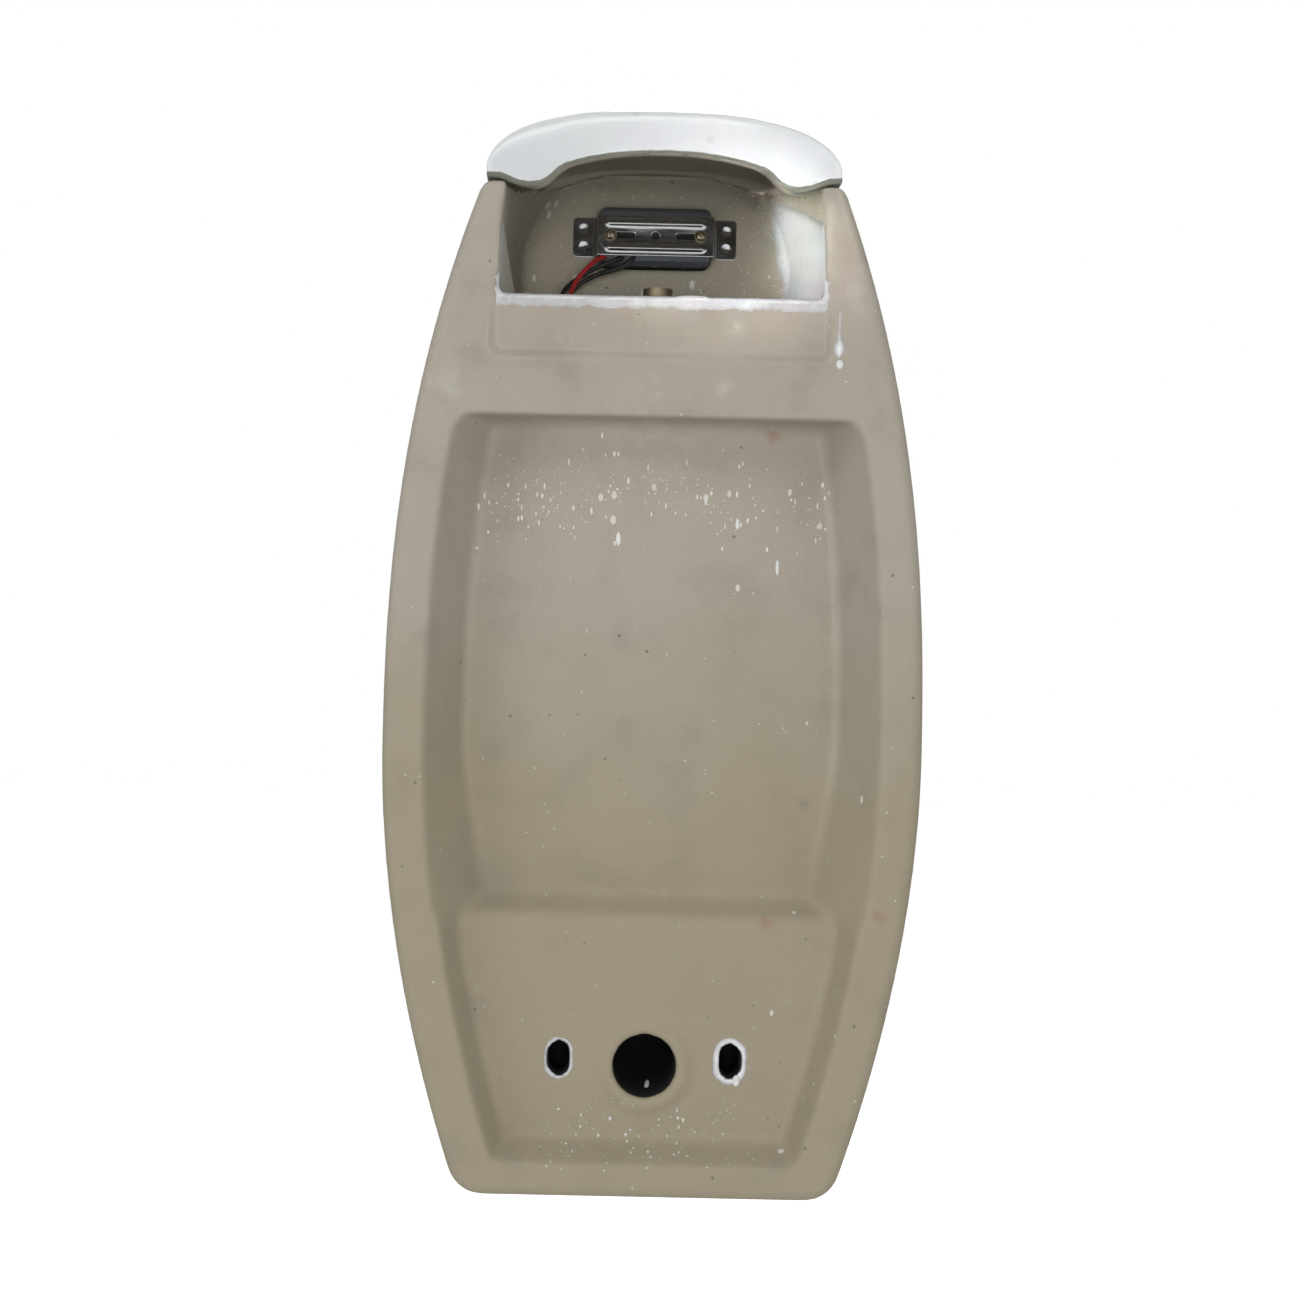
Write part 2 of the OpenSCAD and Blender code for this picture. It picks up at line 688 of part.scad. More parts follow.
module bracket_profile() {
    foot = hatch_d - bracket_t;
    crown = sensor_rear_d - bracket_t;
    half = bracket_l / 2;
    shoulder = half - tab_l;
    polygon([[-half, -foot], [-half, -hatch_d], [-shoulder, -hatch_d], [-shoulder + 2.5, -crown - bracket_t],
        [shoulder - 2.5, -crown - bracket_t], [shoulder, -hatch_d], [half, -hatch_d], [half, -foot],
        [shoulder + 1, -foot], [shoulder - 1.5, -crown], [-shoulder + 1.5, -crown], [-shoulder - 1, -foot]]);
}

module mounting_bracket() {
    crown = sensor_rear_d - bracket_t;
    slot_half_w = screw_r + 0.4;
    color(steel) difference() {
        union() {
            translate([0, 0, sensor_z - bracket_w / 2]) linear_extrude(bracket_w) bracket_profile();
            // Pressed ridges along the crown
            for (s = [-1, 1])
                translate([4 - sensor_w / 2, -crown - 0.1, sensor_z + s * ridge_offset - ridge_w / 2])
                    cube([sensor_w - 8, 0.9, ridge_w]);
        }
        // Cut corners of the tabs
        for (x = [-1, 1], s = [-1, 1])
            translate([x * bracket_l / 2, -hatch_d - 1, sensor_z + s * bracket_w / 2]) rotate([0, 45, 0])
                translate([-corner_cut, 0, -corner_cut]) cube([2 * corner_cut, 30, 2 * corner_cut]);
        // Slots that let the screws find their bosses, and the middle hole
        for (x = [-1, 1] * (screw_pitch / 2 - bracket_slot_l / 2)) {
            for (s = [-1, 1]) bar_y(x + s * bracket_slot_l / 2, sensor_z, crown - 2, crown + 3, slot_half_w);
            translate([x - bracket_slot_l / 2, -crown - 3, sensor_z - slot_half_w])
                cube([bracket_slot_l, 6, 2 * slot_half_w]);
        }
        bar_y(0, sensor_z, crown - 2, crown + 3, 3);
    }
}

washer_t = 0.8;
head_r = screw_r + 1.7;
head_h = 2.6;

module bracket_washers() {
    crown = sensor_rear_d - bracket_t;
    color(zinc) for (x = [-1, 1] * screw_pitch / 2) difference() {
        bar_y(x, sensor_z, crown - washer_t, crown, head_r + 1.1);
        bar_y(x, sensor_z, crown - washer_t - 1, crown + 1, screw_r + 0.3);
    }
}

module bracket_screws() {
    head_d = sensor_rear_d - bracket_t - washer_t;
    color(zinc) for (x = [-1, 1] * screw_pitch / 2) difference() {
        union() {
            bar_y(x, sensor_z, head_d - head_h, head_d, head_r);
            bar_y(x, sensor_z, head_d - 0.1, sensor_rear_d + housing_wall + 3, screw_r - 0.25);
        }
        // Cross recess
        for (a = [0, 90]) translate([x, 0.1 - head_d + head_h, sensor_z]) rotate([0, a, 0])
            translate([1.5 - head_r, -head_h / 2, -0.4]) cube([2 * head_r - 3, head_h / 2 + 0.1, 0.8]);
    }
}

// Leads, each one tube swept along its route. A route starts on the housing's rear, and its
// points are given from there.
lead_r = lead_dia / 2;
lead_exit_z = sensor_z - sensor_h / 2 + 4.5;
red_points = [[0, 0, 0], [0, 2, 0], [1.5, 5, -0.5], [6, 9, -3.5], [12, 13, -9.5], [17.5, 17, -16.5],
    [22, 21, -24.5], [25, 25, -33.5], [26, 28, -43.5], [26, 29, -55.5], [26, 29, -67.5], [26, 29, -78.5],
    [25.5, 31, -88], [25, 35.5, -95], [25, 40, -97.5], [25, 43, -97.5]];
black_points = [[0, 0, 0], [0, 2, 0], [2, 5, -1], [7, 6.5, -3.5], [14, 7, -6.5], [22, 8, -10.5],
    [29, 10, -15], [36, 14, -21], [42, 19, -28.5], [45, 23, -37.5], [46, 25, -48.5], [46, 26, -59.5],
    [46, 27, -71.5], [46, 29, -82], [46, 34, -90.5], [46, 39, -93.5], [46, 43, -93.5]];
coil_points = [[0, 0, 0], [0, 2, 0], [2, 3.5, -2.5], [6, 3.5, -6], [13, 3, -9], [22, 2.5, -11.5],
    [31, 3, -15.5], [39, 5, -21], [45, 8, -28.5], [47, 10, -37.5], [45, 11, -46.5], [41, 12, -54.5],
    [34, 13, -61.5], [25, 14, -66.5], [15, 15, -69.5], [4, 16, -71.5], [-7, 16, -72.5], [-18, 17, -72.5],
    [-29, 18, -71.5], [-40, 20, -70], [-50, 24, -68], [-57, 30.5, -66.5], [-61, 39, -65.5],
    [-62, 47, -65.5], [-62, 51, -65.5]];

// Route from one place through the points given from it. What it misses the other place by is
// shared out along it, so that both ends still run straight.
function routed(from, points, to) = let (last = len(points) - 1, miss = to - from - points[last])
    [for (i = [0:last]) from + points[i] + miss * smooth((i - 1) / (last - 2))];
function housing_exit(share) = [sensor_w * share, -sensor_rear_d, lead_exit_z];
function box_entry(along, up) = [box_x + along, -box_near_d - box_w, box_z + up];

function unit(v) = v / norm(v);
function heading(path, i) = unit(path[min(i + 1, len(path) - 1)] - path[max(i - 1, 0)]);
// Sideways direction carried along the route, so that the tube doesn't twist
function carried(path, i) = i == 0 ? unit(cross(heading(path, 0), [0.1, 0.2, 1]))
    : let (h = heading(path, i), before = carried(path, i - 1)) unit(before - h * (before * h));

module lead(path, r, sides) {
    rings = [for (i = [0:len(path) - 1]) let (u = carried(path, i), v = cross(heading(path, i), u))
        [for (k = [0:sides - 1]) let (a = 360 * k / sides) path[i] + r * (cos(a) * u - sin(a) * v)]];
    loft(rings);
}

module red_lead() {
    color("red") lead(routed(housing_exit(0.4625), red_points, box_entry(31, 10)), lead_r, 8);
}
module black_lead() {
    color(black_plastic) lead(routed(housing_exit(0.3), black_points, box_entry(39, 14)), lead_r, 8);
}
module coil_lead() {
    entry = [boss_x, -boss_end_d, valve_z];
    color(black_plastic) lead(routed(housing_exit(0.2), coil_points, entry), lead_r, 8);
}

// Flush valve. Its flow runs down the axis x = 0 at depth valve_d, and its diaphragm and
// coil lie on an axis that runs sideways at height valve_z.
tail_top_z = hatch_floor_z + 17;
valve_low_z = tail_top_z + 2;
valve_z = valve_low_z + 4 + flange_r;
body_top_z = valve_z + flange_r + 1;
inlet_top_z = body_top_z + inlet_l;
flow_r = 6;
flow_wall = 2.4;
valve_body_r = 14;
seat_r = 7;
filter_z = inlet_top_z - inlet_l + 4;
// The diaphragm's flange, from the body out to the bonnet and the core tube
flange_t = 16;
face_x = -22;
diaphragm_t = 2;
bonnet_x = face_x - diaphragm_t;
bonnet_t = 7;
core_x = bonnet_x - bonnet_t;
core_r = plunger_r + 1.5;
core_l = coil_l + 6;
core_end_t = 5;
flange_screw_r = 1.3;
flange_ring_r = flange_r - 2.6;
// The diaphragm: its clamped rim, its thick middle and the thin ring between that bends
bead_r = 14;
bend_out_r = 12.5;
bend_in_r = 10;
bleed_r = 0.8;
// The coil and the boss that its lead enters
coil_gap = 2.3;
boss_x = core_x - coil_gap - coil_l / 2 + 0.3;
boss_end_d = valve_d + coil_r;
boss_r = 4;
// The stop screw in its branch
screw_bore_r = 3.5;
branch_r = 7;
branch_x = 18;
// The nut that joins valve and spreader, across its flats
union_flats = 28;
coil_nut_flats = 14;
nut_flats = 3 * tail_r;

module bar_x(from_x, to_x, r) {
    translate([min(from_x, to_x), -valve_d, valve_z]) rotate([0, 90, 0])
        cylinder(r = r, h = abs(to_x - from_x));
}

module stem(low, high, r) {
    translate([0, -valve_d, low]) cylinder(r = r, h = high - low);
}

module hex_prism(low, high, flats) {
    translate([0, -valve_d, low]) cylinder(d = flats / cos(30), h = high - low, $fn = 6);
}

module valve_body() {
    color(brass) difference() {
        union() {
            stem(valve_low_z, valve_low_z + 2, tail_r - 0.2);
            stem(valve_low_z + 1.5, valve_z - 10, flow_r + flow_wall);
            stem(valve_z - 13, body_top_z, valve_body_r);
            stem(body_top_z - 1, inlet_top_z, inlet_r);
            bar_x(face_x, face_x + flange_t, flange_r);
            bar_x(6, branch_x, branch_r);
        }
        // Way in, down to the ring-shaped space round the seat
        stem(filter_z, inlet_top_z + 1, seat_r);
        stem(valve_z + 9.5, inlet_top_z, flow_r - 0.5);
        translate([0, 0, 12.5]) bar_x(-16, 1, 3);
        difference() {
            bar_x(face_x - 1, face_x + 12, bead_r - 1);
            bar_x(face_x + 2.5, face_x + 13, seat_r + 1.5);
        }
        // Way out, through the seat and down
        bar_x(face_x, 3, seat_r - 1);
        stem(valve_low_z - 1, valve_z, flow_r - 0.5);
        bar_x(2, branch_x + 1, screw_bore_r);
        flange_screw_holes(flange_screw_r + 0.1);
    }
}
// Turns a piece on to the x direction at angle a of the circle of flange screws
module about_valve(a) {
    translate([0, flange_ring_r * cos(a) - valve_d, valve_z + flange_ring_r * sin(a)])
        rotate([0, 90, 0]) children();
}

module flange_screw_holes(r) {
    for (a = [45:90:315]) translate([face_x - 20, 0, 0]) about_valve(a) cylinder(r = r, h = 34);
}

module diaphragm() {
    color(rubber) difference() {
        union() {
            bar_x(face_x, bonnet_x, bead_r);
            bar_x(face_x + 2.5, bonnet_x - 1, seat_r + 2.5);
        }
        bar_x(face_x + 3, bonnet_x - 2, bleed_r);
        difference() {
            bar_x(face_x - diaphragm_t / 2, bonnet_x - 1, bend_out_r);
            bar_x(face_x, bonnet_x - 2, bend_in_r);
        }
    }
}

module valve_bonnet() {
    color(black_plastic) difference() {
        union() {
            bar_x(bonnet_x, core_x, flange_r);
            difference() {
                bar_x(face_x, bonnet_x, flange_r);
                bar_x(face_x + 1, bonnet_x - 1, bead_r + running);
            }
        }
        bar_x(bonnet_x + 1, bonnet_x - 4, bend_in_r + 1);
        bar_x(bonnet_x, core_x - 1, core_r);
        flange_screw_holes(flange_screw_r + 0.4);
    }
}

module bonnet_screws() {
    color(steel) for (a = [45:90:315]) translate([core_x - 2, 0, 0]) about_valve(a) {
        cylinder(r = flange_screw_r + 1.1, h = 2);
        translate([0, 0, 1.9]) cylinder(r = flange_screw_r, h = bonnet_t + 11);
    }
}

module core_tube() {
    color(steel) difference() {
        bar_x(bonnet_x - 4.2, core_x - core_l, core_r - running);
        bar_x(bonnet_x - 3, core_x - core_l + core_end_t, plunger_r + 0.15);
    }
}

plunger_l = 20;
plunger_tip_x = bonnet_x - 1 - seat_gap;
plunger_end_x = plunger_tip_x - plunger_l;
spring_end_x = core_x - core_l + core_end_t;
spring_r = 2.5;
spring_wire_r = 0.35;

module plunger() {
    color(steel) union() {
        bar_x(plunger_tip_x, plunger_tip_x - 3, 2);
        bar_x(plunger_tip_x - 3, plunger_end_x, plunger_r + 0.1);
    }
}

// Spring behind the plunger
module plunger_spring() {
    l = plunger_end_x - spring_end_x;
    turns = 5;
    per_turn = 8;
    coil_path = [for (i = [0:turns * per_turn]) let (a = 360 * i / per_turn)
        [spring_end_x + 0.4 + (l - 0.8) * i / (turns * per_turn), spring_r * cos(a) - valve_d,
            valve_z + spring_r * sin(a)]];
    color(steel) lead(coil_path, spring_wire_r, 4);
}

module solenoid_coil() {
    color(black_plastic) difference() {
        union() {
            bar_x(core_x - coil_gap, core_x - coil_gap - coil_l, coil_r);
            // Boss that the lead enters
            bar_y(boss_x, valve_z, boss_end_d - 3, boss_end_d, boss_r);
        }
        bar_x(core_x, core_x - coil_l - 4, core_r + 0.1);
    }
}

module coil_nut() {
    from_x = core_x - coil_gap - coil_l;
    color(steel) difference() {
        translate([from_x - 3, -valve_d, valve_z]) rotate([0, 90, 0])
            cylinder(d = coil_nut_flats / cos(30), h = 3, $fn = 6);
        bar_x(from_x + 1, from_x - 4, core_r);
    }
}

module inlet_filter() {
    color(steel) difference() {
        stem(filter_z, filter_z + 6, seat_r - running);
        stem(filter_z + 1, filter_z + 7, seat_r - 1);
        for (a = [0:60:300]) translate([3.6 * cos(a), 3.6 * sin(a) - valve_d, filter_z - 1])
            cylinder(r = 1, h = 3);
        stem(filter_z - 1, filter_z + 2, 1);
    }
}

module flow_screw() {
    head_x = branch_x + seat_gap;
    color(brass) difference() {
        union() {
            bar_x(7, head_x, screw_bore_r - running);
            bar_x(head_x, head_x + 3.7, branch_r - 1);
        }
        translate([head_x + 2.2, -valve_d - branch_r, valve_z - 0.7]) cube([3, 2 * branch_r, 1.4]);
    }
}

module union_gasket() {
    color(rubber) difference() {
        stem(tail_top_z, valve_low_z, tail_r - 0.2);
        stem(tail_top_z - 1, valve_low_z + 1, flow_r + 1);
    }
}

module union_nut() {
    color(brass) difference() {
        hex_prism(tail_top_z - 8, valve_low_z + 3.5, union_flats);
        stem(tail_top_z - 9, valve_low_z + 2, tail_r + running);
        stem(valve_low_z, valve_low_z + 6, flow_r + flow_wall + running);
    }
}

// Spreader: fans the water over the back of the bowl
spreader_gasket_t = 1.5;
spreader_z = bowl_top_z - spreader_gasket_t;
washer_h = 2;
dome_wall = 5;
dome_rim_h = 4;
dome_h = 20;
spray_slots = 15;
spray_slot_w = 2.4;

module spreader() {
    inner_r = dome_r - dome_wall;
    color(steel) difference() {
        union() {
            stem(spreader_z - 3, tail_top_z, tail_r);
            translate([0, -valve_d, spreader_z]) rotate_extrude() polygon(concat([[0, 0], [dome_r, 0]],
                [for (a = [0:15:90]) [dome_r * cos(a), -dome_rim_h - (dome_h - dome_rim_h) * sin(a)]]));
        }
        stem(spreader_z - 12, tail_top_z + 1, flow_r + 1);
        // Chamber and the slots that the water leaves by
        translate([0, -valve_d, spreader_z]) {
            rotate_extrude() polygon(concat([[0, -dome_rim_h], [inner_r, -dome_rim_h]],
                [for (a = [0:18:90]) [inner_r * cos(a), -dome_rim_h - 1 - (dome_h - 8) * sin(a)]]));
            for (i = [1:spray_slots]) rotate([0, 0, 360 * i / spray_slots])
                translate([inner_r - 4, -spray_slot_w / 2, -10.5]) cube([12, spray_slot_w, 5]);
        }
    }
}

module spreader_gasket() {
    color(rubber) difference() {
        stem(spreader_z, bowl_top_z, dome_r - 2);
        stem(spreader_z - 1, bowl_top_z + 1, tail_r + running);
    }
}

module spreader_washer() {
    color(rubber) difference() {
        stem(hatch_floor_z, hatch_floor_z + washer_h, tail_r + 6);
        stem(hatch_floor_z - 1, hatch_floor_z + washer_h + 1, tail_r + running);
    }
}

module spreader_nut() {
    color(brass) difference() {
        hex_prism(hatch_floor_z + washer_h, hatch_floor_z + washer_h + 6, nut_flats);
        stem(hatch_floor_z + 1, hatch_floor_z + 12, tail_r + running);
    }
}

// Battery box on the floor beside the valve, with its lid sliding towards the wall
box_near_d = 40;
box_side_gap = 6;
box_l = cell_l + 7 + 2 * box_wall;
box_w = 4 * cell_dia + 1 + 2 * box_wall;
box_x = hatch_half_w - hatch_draw - 3 - box_side_gap - box_l;
box_z = hatch_floor_z;
lid_z = box_z + box_wall + cell_dia + 0.5;
lid_t = 2;
lid_play = 0.3;
rail_depth = 1.2;
box_far_y = -box_near_d - box_w;

module battery_box() {
    color(black_plastic) difference() {
        translate([box_x, box_far_y, box_z]) cube([box_l, box_w, lid_z + lid_t + 2 - box_z]);
        translate([box_x + box_wall, box_far_y + box_wall, box_z + box_wall])
            cube([box_l - 2 * box_wall, box_w - 2 * box_wall, cell_dia + 10]);
        // Rails for the lid, open towards the wall
        translate([box_x + box_wall - rail_depth, box_far_y + box_wall, lid_z - lid_play])
            cube([box_l - 2 * box_wall + 2 * rail_depth, box_w, lid_t + 2 * lid_play]);
        translate([box_x + box_wall, -box_near_d - 2 * box_wall, lid_z - lid_play])
            cube([box_l - 2 * box_wall, 3 * box_wall, 10]);
    }
}

module battery_lid() {
    inset = box_wall - rail_depth + lid_play;
    color(dark_plastic) {
        translate([box_x + inset, box_far_y + box_wall + lid_play, lid_z])
            cube([box_l - 2 * inset, box_w - box_wall - 2 * lid_play, lid_t]);
        // Finger grip
        for (i = [0:4]) translate([box_x + box_l / 2 - 10, -box_near_d - 6 - 2.5 * i, lid_z + lid_t - 0.1])
            cube([20, 1.2, 0.9]);
    }
}

// Bar along cell i, from one distance to another off the box's inner wall
module cell_bar(i, from_l, to_l, r) {
    across = box_wall + 0.5 + cell_dia * (i + 0.5);
    translate([box_x + box_wall + from_l, -box_near_d - across, box_z + box_wall + cell_dia / 2])
        rotate([0, 90, 0]) cylinder(r = r, h = to_l - from_l);
}

// Every other cell points the other way, so its button is at the other end
function button_first(i) = i % 2 == 1;
contact_l = 2;
flat_contact_r = 3.5;
spring_contact_r = 2.2;
button_l = 1.2;
button_r = 2.8;

module battery_cells() {
    color("goldenrod") for (i = [0:3]) {
        start = button_first(i) ? 5 : contact_l;
        button = button_first(i) ? start - button_l : start + cell_l;
        cell_bar(i, start, start + cell_l, cell_dia / 2 - 0.15);
        cell_bar(i, button - 0.1, button + button_l + 0.1, button_r);
    }
}

module battery_contacts() {
    far = box_l - 2 * box_wall;
    color(steel) for (i = [0:3]) {
        flat = button_first(i) ? far - contact_l : 0;
        spring = button_first(i) ? 0 : contact_l + cell_l + button_l + 0.1;
        spring_l = far - contact_l - cell_l - button_l - 0.1;
        cell_bar(i, flat, flat + contact_l, flat_contact_r);
        cell_bar(i, spring, spring + spring_l, spring_contact_r);
    }
}

// Strainer over the drain, with its holes on two circles
strainer_t = 2.5;
hole_circles = [[9, 6], [17, 12]];
strainer_hole_r = 2.2;

module strainer() {
    seat_z = bowl_floor_z - strainer_seat + seat_gap;
    color(steel) translate([0, -drain_d, seat_z]) difference() {
        rotate_extrude() polygon([[0, 6], [12, 5], [strainer_r - 6, strainer_t], [strainer_r, strainer_t],
            [strainer_r, 0], [strainer_r - 7, 0], [12, strainer_t], [0, 3.5]]);
        for (c = hole_circles, i = [1:c[1]]) rotate([0, 0, 360 * i / c[1]]) translate([c[0], 0, -1])
            cylinder(r = strainer_hole_r, h = 10);
    }
}

china_body();
top_cover();
cover_pads();
sensor_housing();
sensor_gasket();
sensor_bezel();
sensor_window();
sensor_board();
infrared_emitter();
infrared_receiver();
status_lamp();
mounting_bracket();
bracket_washers();
bracket_screws();
red_lead();
black_lead();
coil_lead();
valve_body();
diaphragm();
valve_bonnet();
bonnet_screws();
core_tube();
plunger();
plunger_spring();
solenoid_coil();
coil_nut();
inlet_filter();
flow_screw();
union_gasket();
union_nut();
spreader();
spreader_gasket();
spreader_washer();
spreader_nut();
battery_box();
battery_lid();
battery_cells();
battery_contacts();
strainer();
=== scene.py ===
import bmesh
import bpy
import numpy as np
from math import asin, cos, pi, radians, sin
from mathutils import Matrix, Vector


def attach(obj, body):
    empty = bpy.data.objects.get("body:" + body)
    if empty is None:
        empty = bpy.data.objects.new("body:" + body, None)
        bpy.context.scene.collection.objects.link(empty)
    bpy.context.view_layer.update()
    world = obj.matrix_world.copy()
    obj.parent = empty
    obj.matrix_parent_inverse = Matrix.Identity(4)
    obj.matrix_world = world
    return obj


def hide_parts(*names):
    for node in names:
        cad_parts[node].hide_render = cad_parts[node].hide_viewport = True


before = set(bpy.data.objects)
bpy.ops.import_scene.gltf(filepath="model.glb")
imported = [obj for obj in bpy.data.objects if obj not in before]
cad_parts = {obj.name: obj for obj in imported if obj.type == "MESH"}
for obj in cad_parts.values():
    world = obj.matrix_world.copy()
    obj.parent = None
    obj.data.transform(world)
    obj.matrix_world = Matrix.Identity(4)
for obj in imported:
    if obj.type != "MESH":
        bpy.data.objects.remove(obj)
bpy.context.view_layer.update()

# China body: one slip-cast piece of vitreous china with walls of some 9 mm, fired with white glaze
# on all that shows in use. The rim that meets the wall, the recess behind the bowl and most of
# the service compartment stay bare clay, with the spatter and drips that glazing leaves there.
mm = 0.001
body_w = 362
body_d = 332
widest_z = -240
bottom_z = -540
shoulder_z = 139
upper_taper = 60
lower_taper = 56
foot_r = 16
back_edge_r = 7
neck_d = 188
neck_z = -20
brow_d = 172
brow_z = 161
brow_fall = 42
crown_z = 190
lip_reach_z = -300
chin_fall = 142
rim_rise = 37
rim_flat_x = 104
wall = 9


def soft_step(t):
    """Smooth step from 0 to 1."""
    c = np.clip(t, 0, 1)
    return c * c * (3 - 2 * c)


def edge_round(h, r):
    """How far an edge of radius r is drawn in at height h above it."""
    return r - np.sqrt(np.maximum(r * r - np.clip(r - h, 0, r) ** 2, 0))


def half_width(z):
    """Half width of the body's back at height z."""
    z = np.asarray(z, float)
    above = body_w / 2 - upper_taper * np.clip((z - widest_z) / (shoulder_z - widest_z), 0, None) ** 2.4
    below = body_w / 2 - lower_taper * np.clip((widest_z - z) / (widest_z - bottom_z), 0, 1) ** 1.9
    return np.where(z > widest_z, above, below) - edge_round(z - bottom_z, foot_r)


def front_depth(z):
    """Depth of the body's front at height z."""
    z = np.asarray(z, float)
    brow = brow_d - brow_fall * np.clip((z - brow_z) / (crown_z - brow_z), 0, None) ** 1.6
    neck = neck_d + (brow_d - neck_d) * (z - neck_z) / (brow_z - neck_z)
    lip = neck_d + (body_d - neck_d) * soft_step((neck_z - z) / (neck_z - lip_reach_z))
    chin = body_d - chin_fall * np.clip((lip_reach_z - z) / (lip_reach_z - bottom_z), 0, 1) ** 1.6
    depth = np.where(z > brow_z, brow, np.where(z > neck_z, neck, np.where(z > lip_reach_z, lip, chin)))
    return depth - edge_round(z - bottom_z, 1.5 * foot_r)


def plan_power(z):
    """Squareness of the body's plan at height z."""
    return 3.8 - 1.6 * soft_step((neck_z - np.asarray(z, float)) / (neck_z - lip_reach_z))


def rim_z(x):
    """Height of the arched rim that carries the cover."""
    return shoulder_z + rim_rise * np.clip(1 - (np.abs(x) / rim_flat_x) ** 3, 0, 1)


def piece_of(name, bm):
    """A finished mesh as an object at the origin."""
    bm.normal_update()
    mesh = bpy.data.meshes.new(name)
    bm.to_mesh(mesh)
    bm.free()
    piece = bpy.data.objects.new(name, mesh)
    bpy.context.scene.collection.objects.link(piece)
    return piece


def turned_out(bm):
    """Turns the faces of a closed shell outwards."""
    bmesh.ops.recalc_face_normals(bm, faces=bm.faces)
    if bm.calc_volume(signed=True) < 0:
        bmesh.ops.reverse_faces(bm, faces=bm.faces)


def grid_of(columns, rows, place):
    """Grid of columns by rows cells, each corner put where place says, in mm."""
    bm = bmesh.new()
    bmesh.ops.create_grid(bm, x_segments=columns, y_segments=rows, size=0.5)
    for v in bm.verts:
        v.co = Vector(place(round((v.co.x + 0.5) * columns), round((v.co.y + 0.5) * rows))) * mm
    return bm


def skin_of(name, around, levels, place):
    """Closed skin from a grid of around by levels cells."""
    bm = grid_of(around, levels, place)
    bmesh.ops.remove_doubles(bm, verts=bm.verts, dist=1e-6)
    bmesh.ops.holes_fill(bm, edges=bm.edges, sides=0)
    turned_out(bm)
    return piece_of(name, bm)


def modified(piece, kind, **settings):
    """Applies one modifier to a piece."""
    step = piece.modifiers.new(kind, kind)
    for key, value in settings.items():
        setattr(step, key, value)
    bpy.context.view_layer.update()
    shaped = bpy.data.meshes.new_from_object(piece.evaluated_get(bpy.context.evaluated_depsgraph_get()))
    piece.modifiers.clear()
    old = piece.data
    piece.data = shaped
    bpy.data.meshes.remove(old)
    return piece


def cut(piece, cutter):
    """Takes a closed form away from a piece."""
    modified(piece, "BOOLEAN", operation="DIFFERENCE", solver="MANIFOLD", object=cutter)
    bpy.data.objects.remove(cutter)


def box_solid(name, low, high):
    """A block between two corners, in mm."""
    bm = bmesh.new()
    bmesh.ops.create_cube(bm, size=1)
    middle = (Vector(low) + Vector(high)) / 2
    for v in bm.verts:
        v.co = (middle + Vector(c * (h - l) for c, l, h in zip(v.co, low, high))) * mm
    return piece_of(name, bm)


def prism(name, outline, back, front):
    """Solid with a flat outline of (x, z) points, from depth back to depth front, in mm."""
    bm = bmesh.new()
    face = bm.faces.new([bm.verts.new((x * mm, -back * mm, z * mm)) for x, z in outline])
    moved = bmesh.ops.extrude_face_region(bm, geom=[face])
    bmesh.ops.translate(bm, vec=(0, -(front - back) * mm, 0),
                        verts=[g for g in moved["geom"] if isinstance(g, bmesh.types.BMVert)])
    turned_out(bm)
    return piece_of(name, bm)


def rounded(w, h, r, cx=0, cz=0, steps=8):
    """Outline of a rectangle with rounded corners."""
    points = []
    for sx, sz, start in ((1, 1, 0), (-1, 1, 90), (-1, -1, 180), (1, -1, 270)):
        for k in range(steps + 1):
            a = radians(start + 90 * k / steps)
            points.append((cx + sx * (w / 2 - r) + r * cos(a), cz + sz * (h / 2 - r) + r * sin(a)))
    return points


def swept(name, path, r, sides):
    """Closed round bar along a path of (x, y, z) points in mm."""
    points = [Vector(p) for p in path]
    last = len(points) - 1
    ahead = [(points[min(k + 1, last)] - points[max(k - 1, 0)]).normalized() for k in range(last + 1)]
    across = ahead[0].orthogonal().normalized()
    frames = []
    for h in ahead:
        across = (across - h * across.dot(h)).normalized()
        frames.append((across.copy(), h.cross(across)))

    def place(i, j):
        a = 2 * pi * i / sides
        u, v = frames[j]
        return points[j] + r * (cos(a) * u + sin(a) * v)

    return skin_of(name, sides, last, place)


# The outer form, whose back edge is rounded by the last few columns of its skin
foot_levels = [0, 0.03, 0.12, 0.25, 0.45, 0.7, 1]
body_levels = np.concatenate([bottom_z + foot_r * np.array(foot_levels),
                              np.linspace(bottom_z + foot_r + 6, 210, 120)])
edge_depths = [0, 0.4, 1.2, 2.6, 4.6]
front_steps = 110
back_steps = 20
side_columns = 1 + len(edge_depths)
outer_columns = 2 * side_columns + front_steps + back_steps


def side_place(depth, z, w, d, n):
    """Half width of the body's side at a small depth in front of the wall."""
    return w * (1 - (depth / d) ** n) ** (1 / n) - float(edge_round(depth, back_edge_r))


def outer_place(i, j):
    z = float(body_levels[j])
    w, d, n = float(half_width(z)), float(front_depth(z)), float(plan_power(z))
    set_back = float(edge_round(z - bottom_z, back_edge_r))
    behind = min(z - bottom_z - back_edge_r, 8) if set_back == 0 else -set_back
    i = i % outer_columns
    mirror = 1 if i < side_columns else -1
    k = i if i < side_columns else 2 * side_columns + front_steps - i
    if k == 0:
        return (mirror * (w - back_edge_r), behind, z)
    if 0 < k < side_columns:
        depth = edge_depths[k - 1]
        return (mirror * side_place(depth, z, w, d, n), -depth - set_back, z)
    if i <= side_columns + front_steps:
        start = asin((back_edge_r / d) ** (n / 2))
        a = start + (pi - 2 * start) * (i - side_columns) / front_steps
        return (w * np.sign(cos(a)) * abs(cos(a)) ** (2 / n), min(-d * sin(a) ** (2 / n), -set_back), z)
    share = (i - 2 * side_columns - front_steps) / back_steps
    return ((w - back_edge_r) * (2 * share - 1), behind, z)


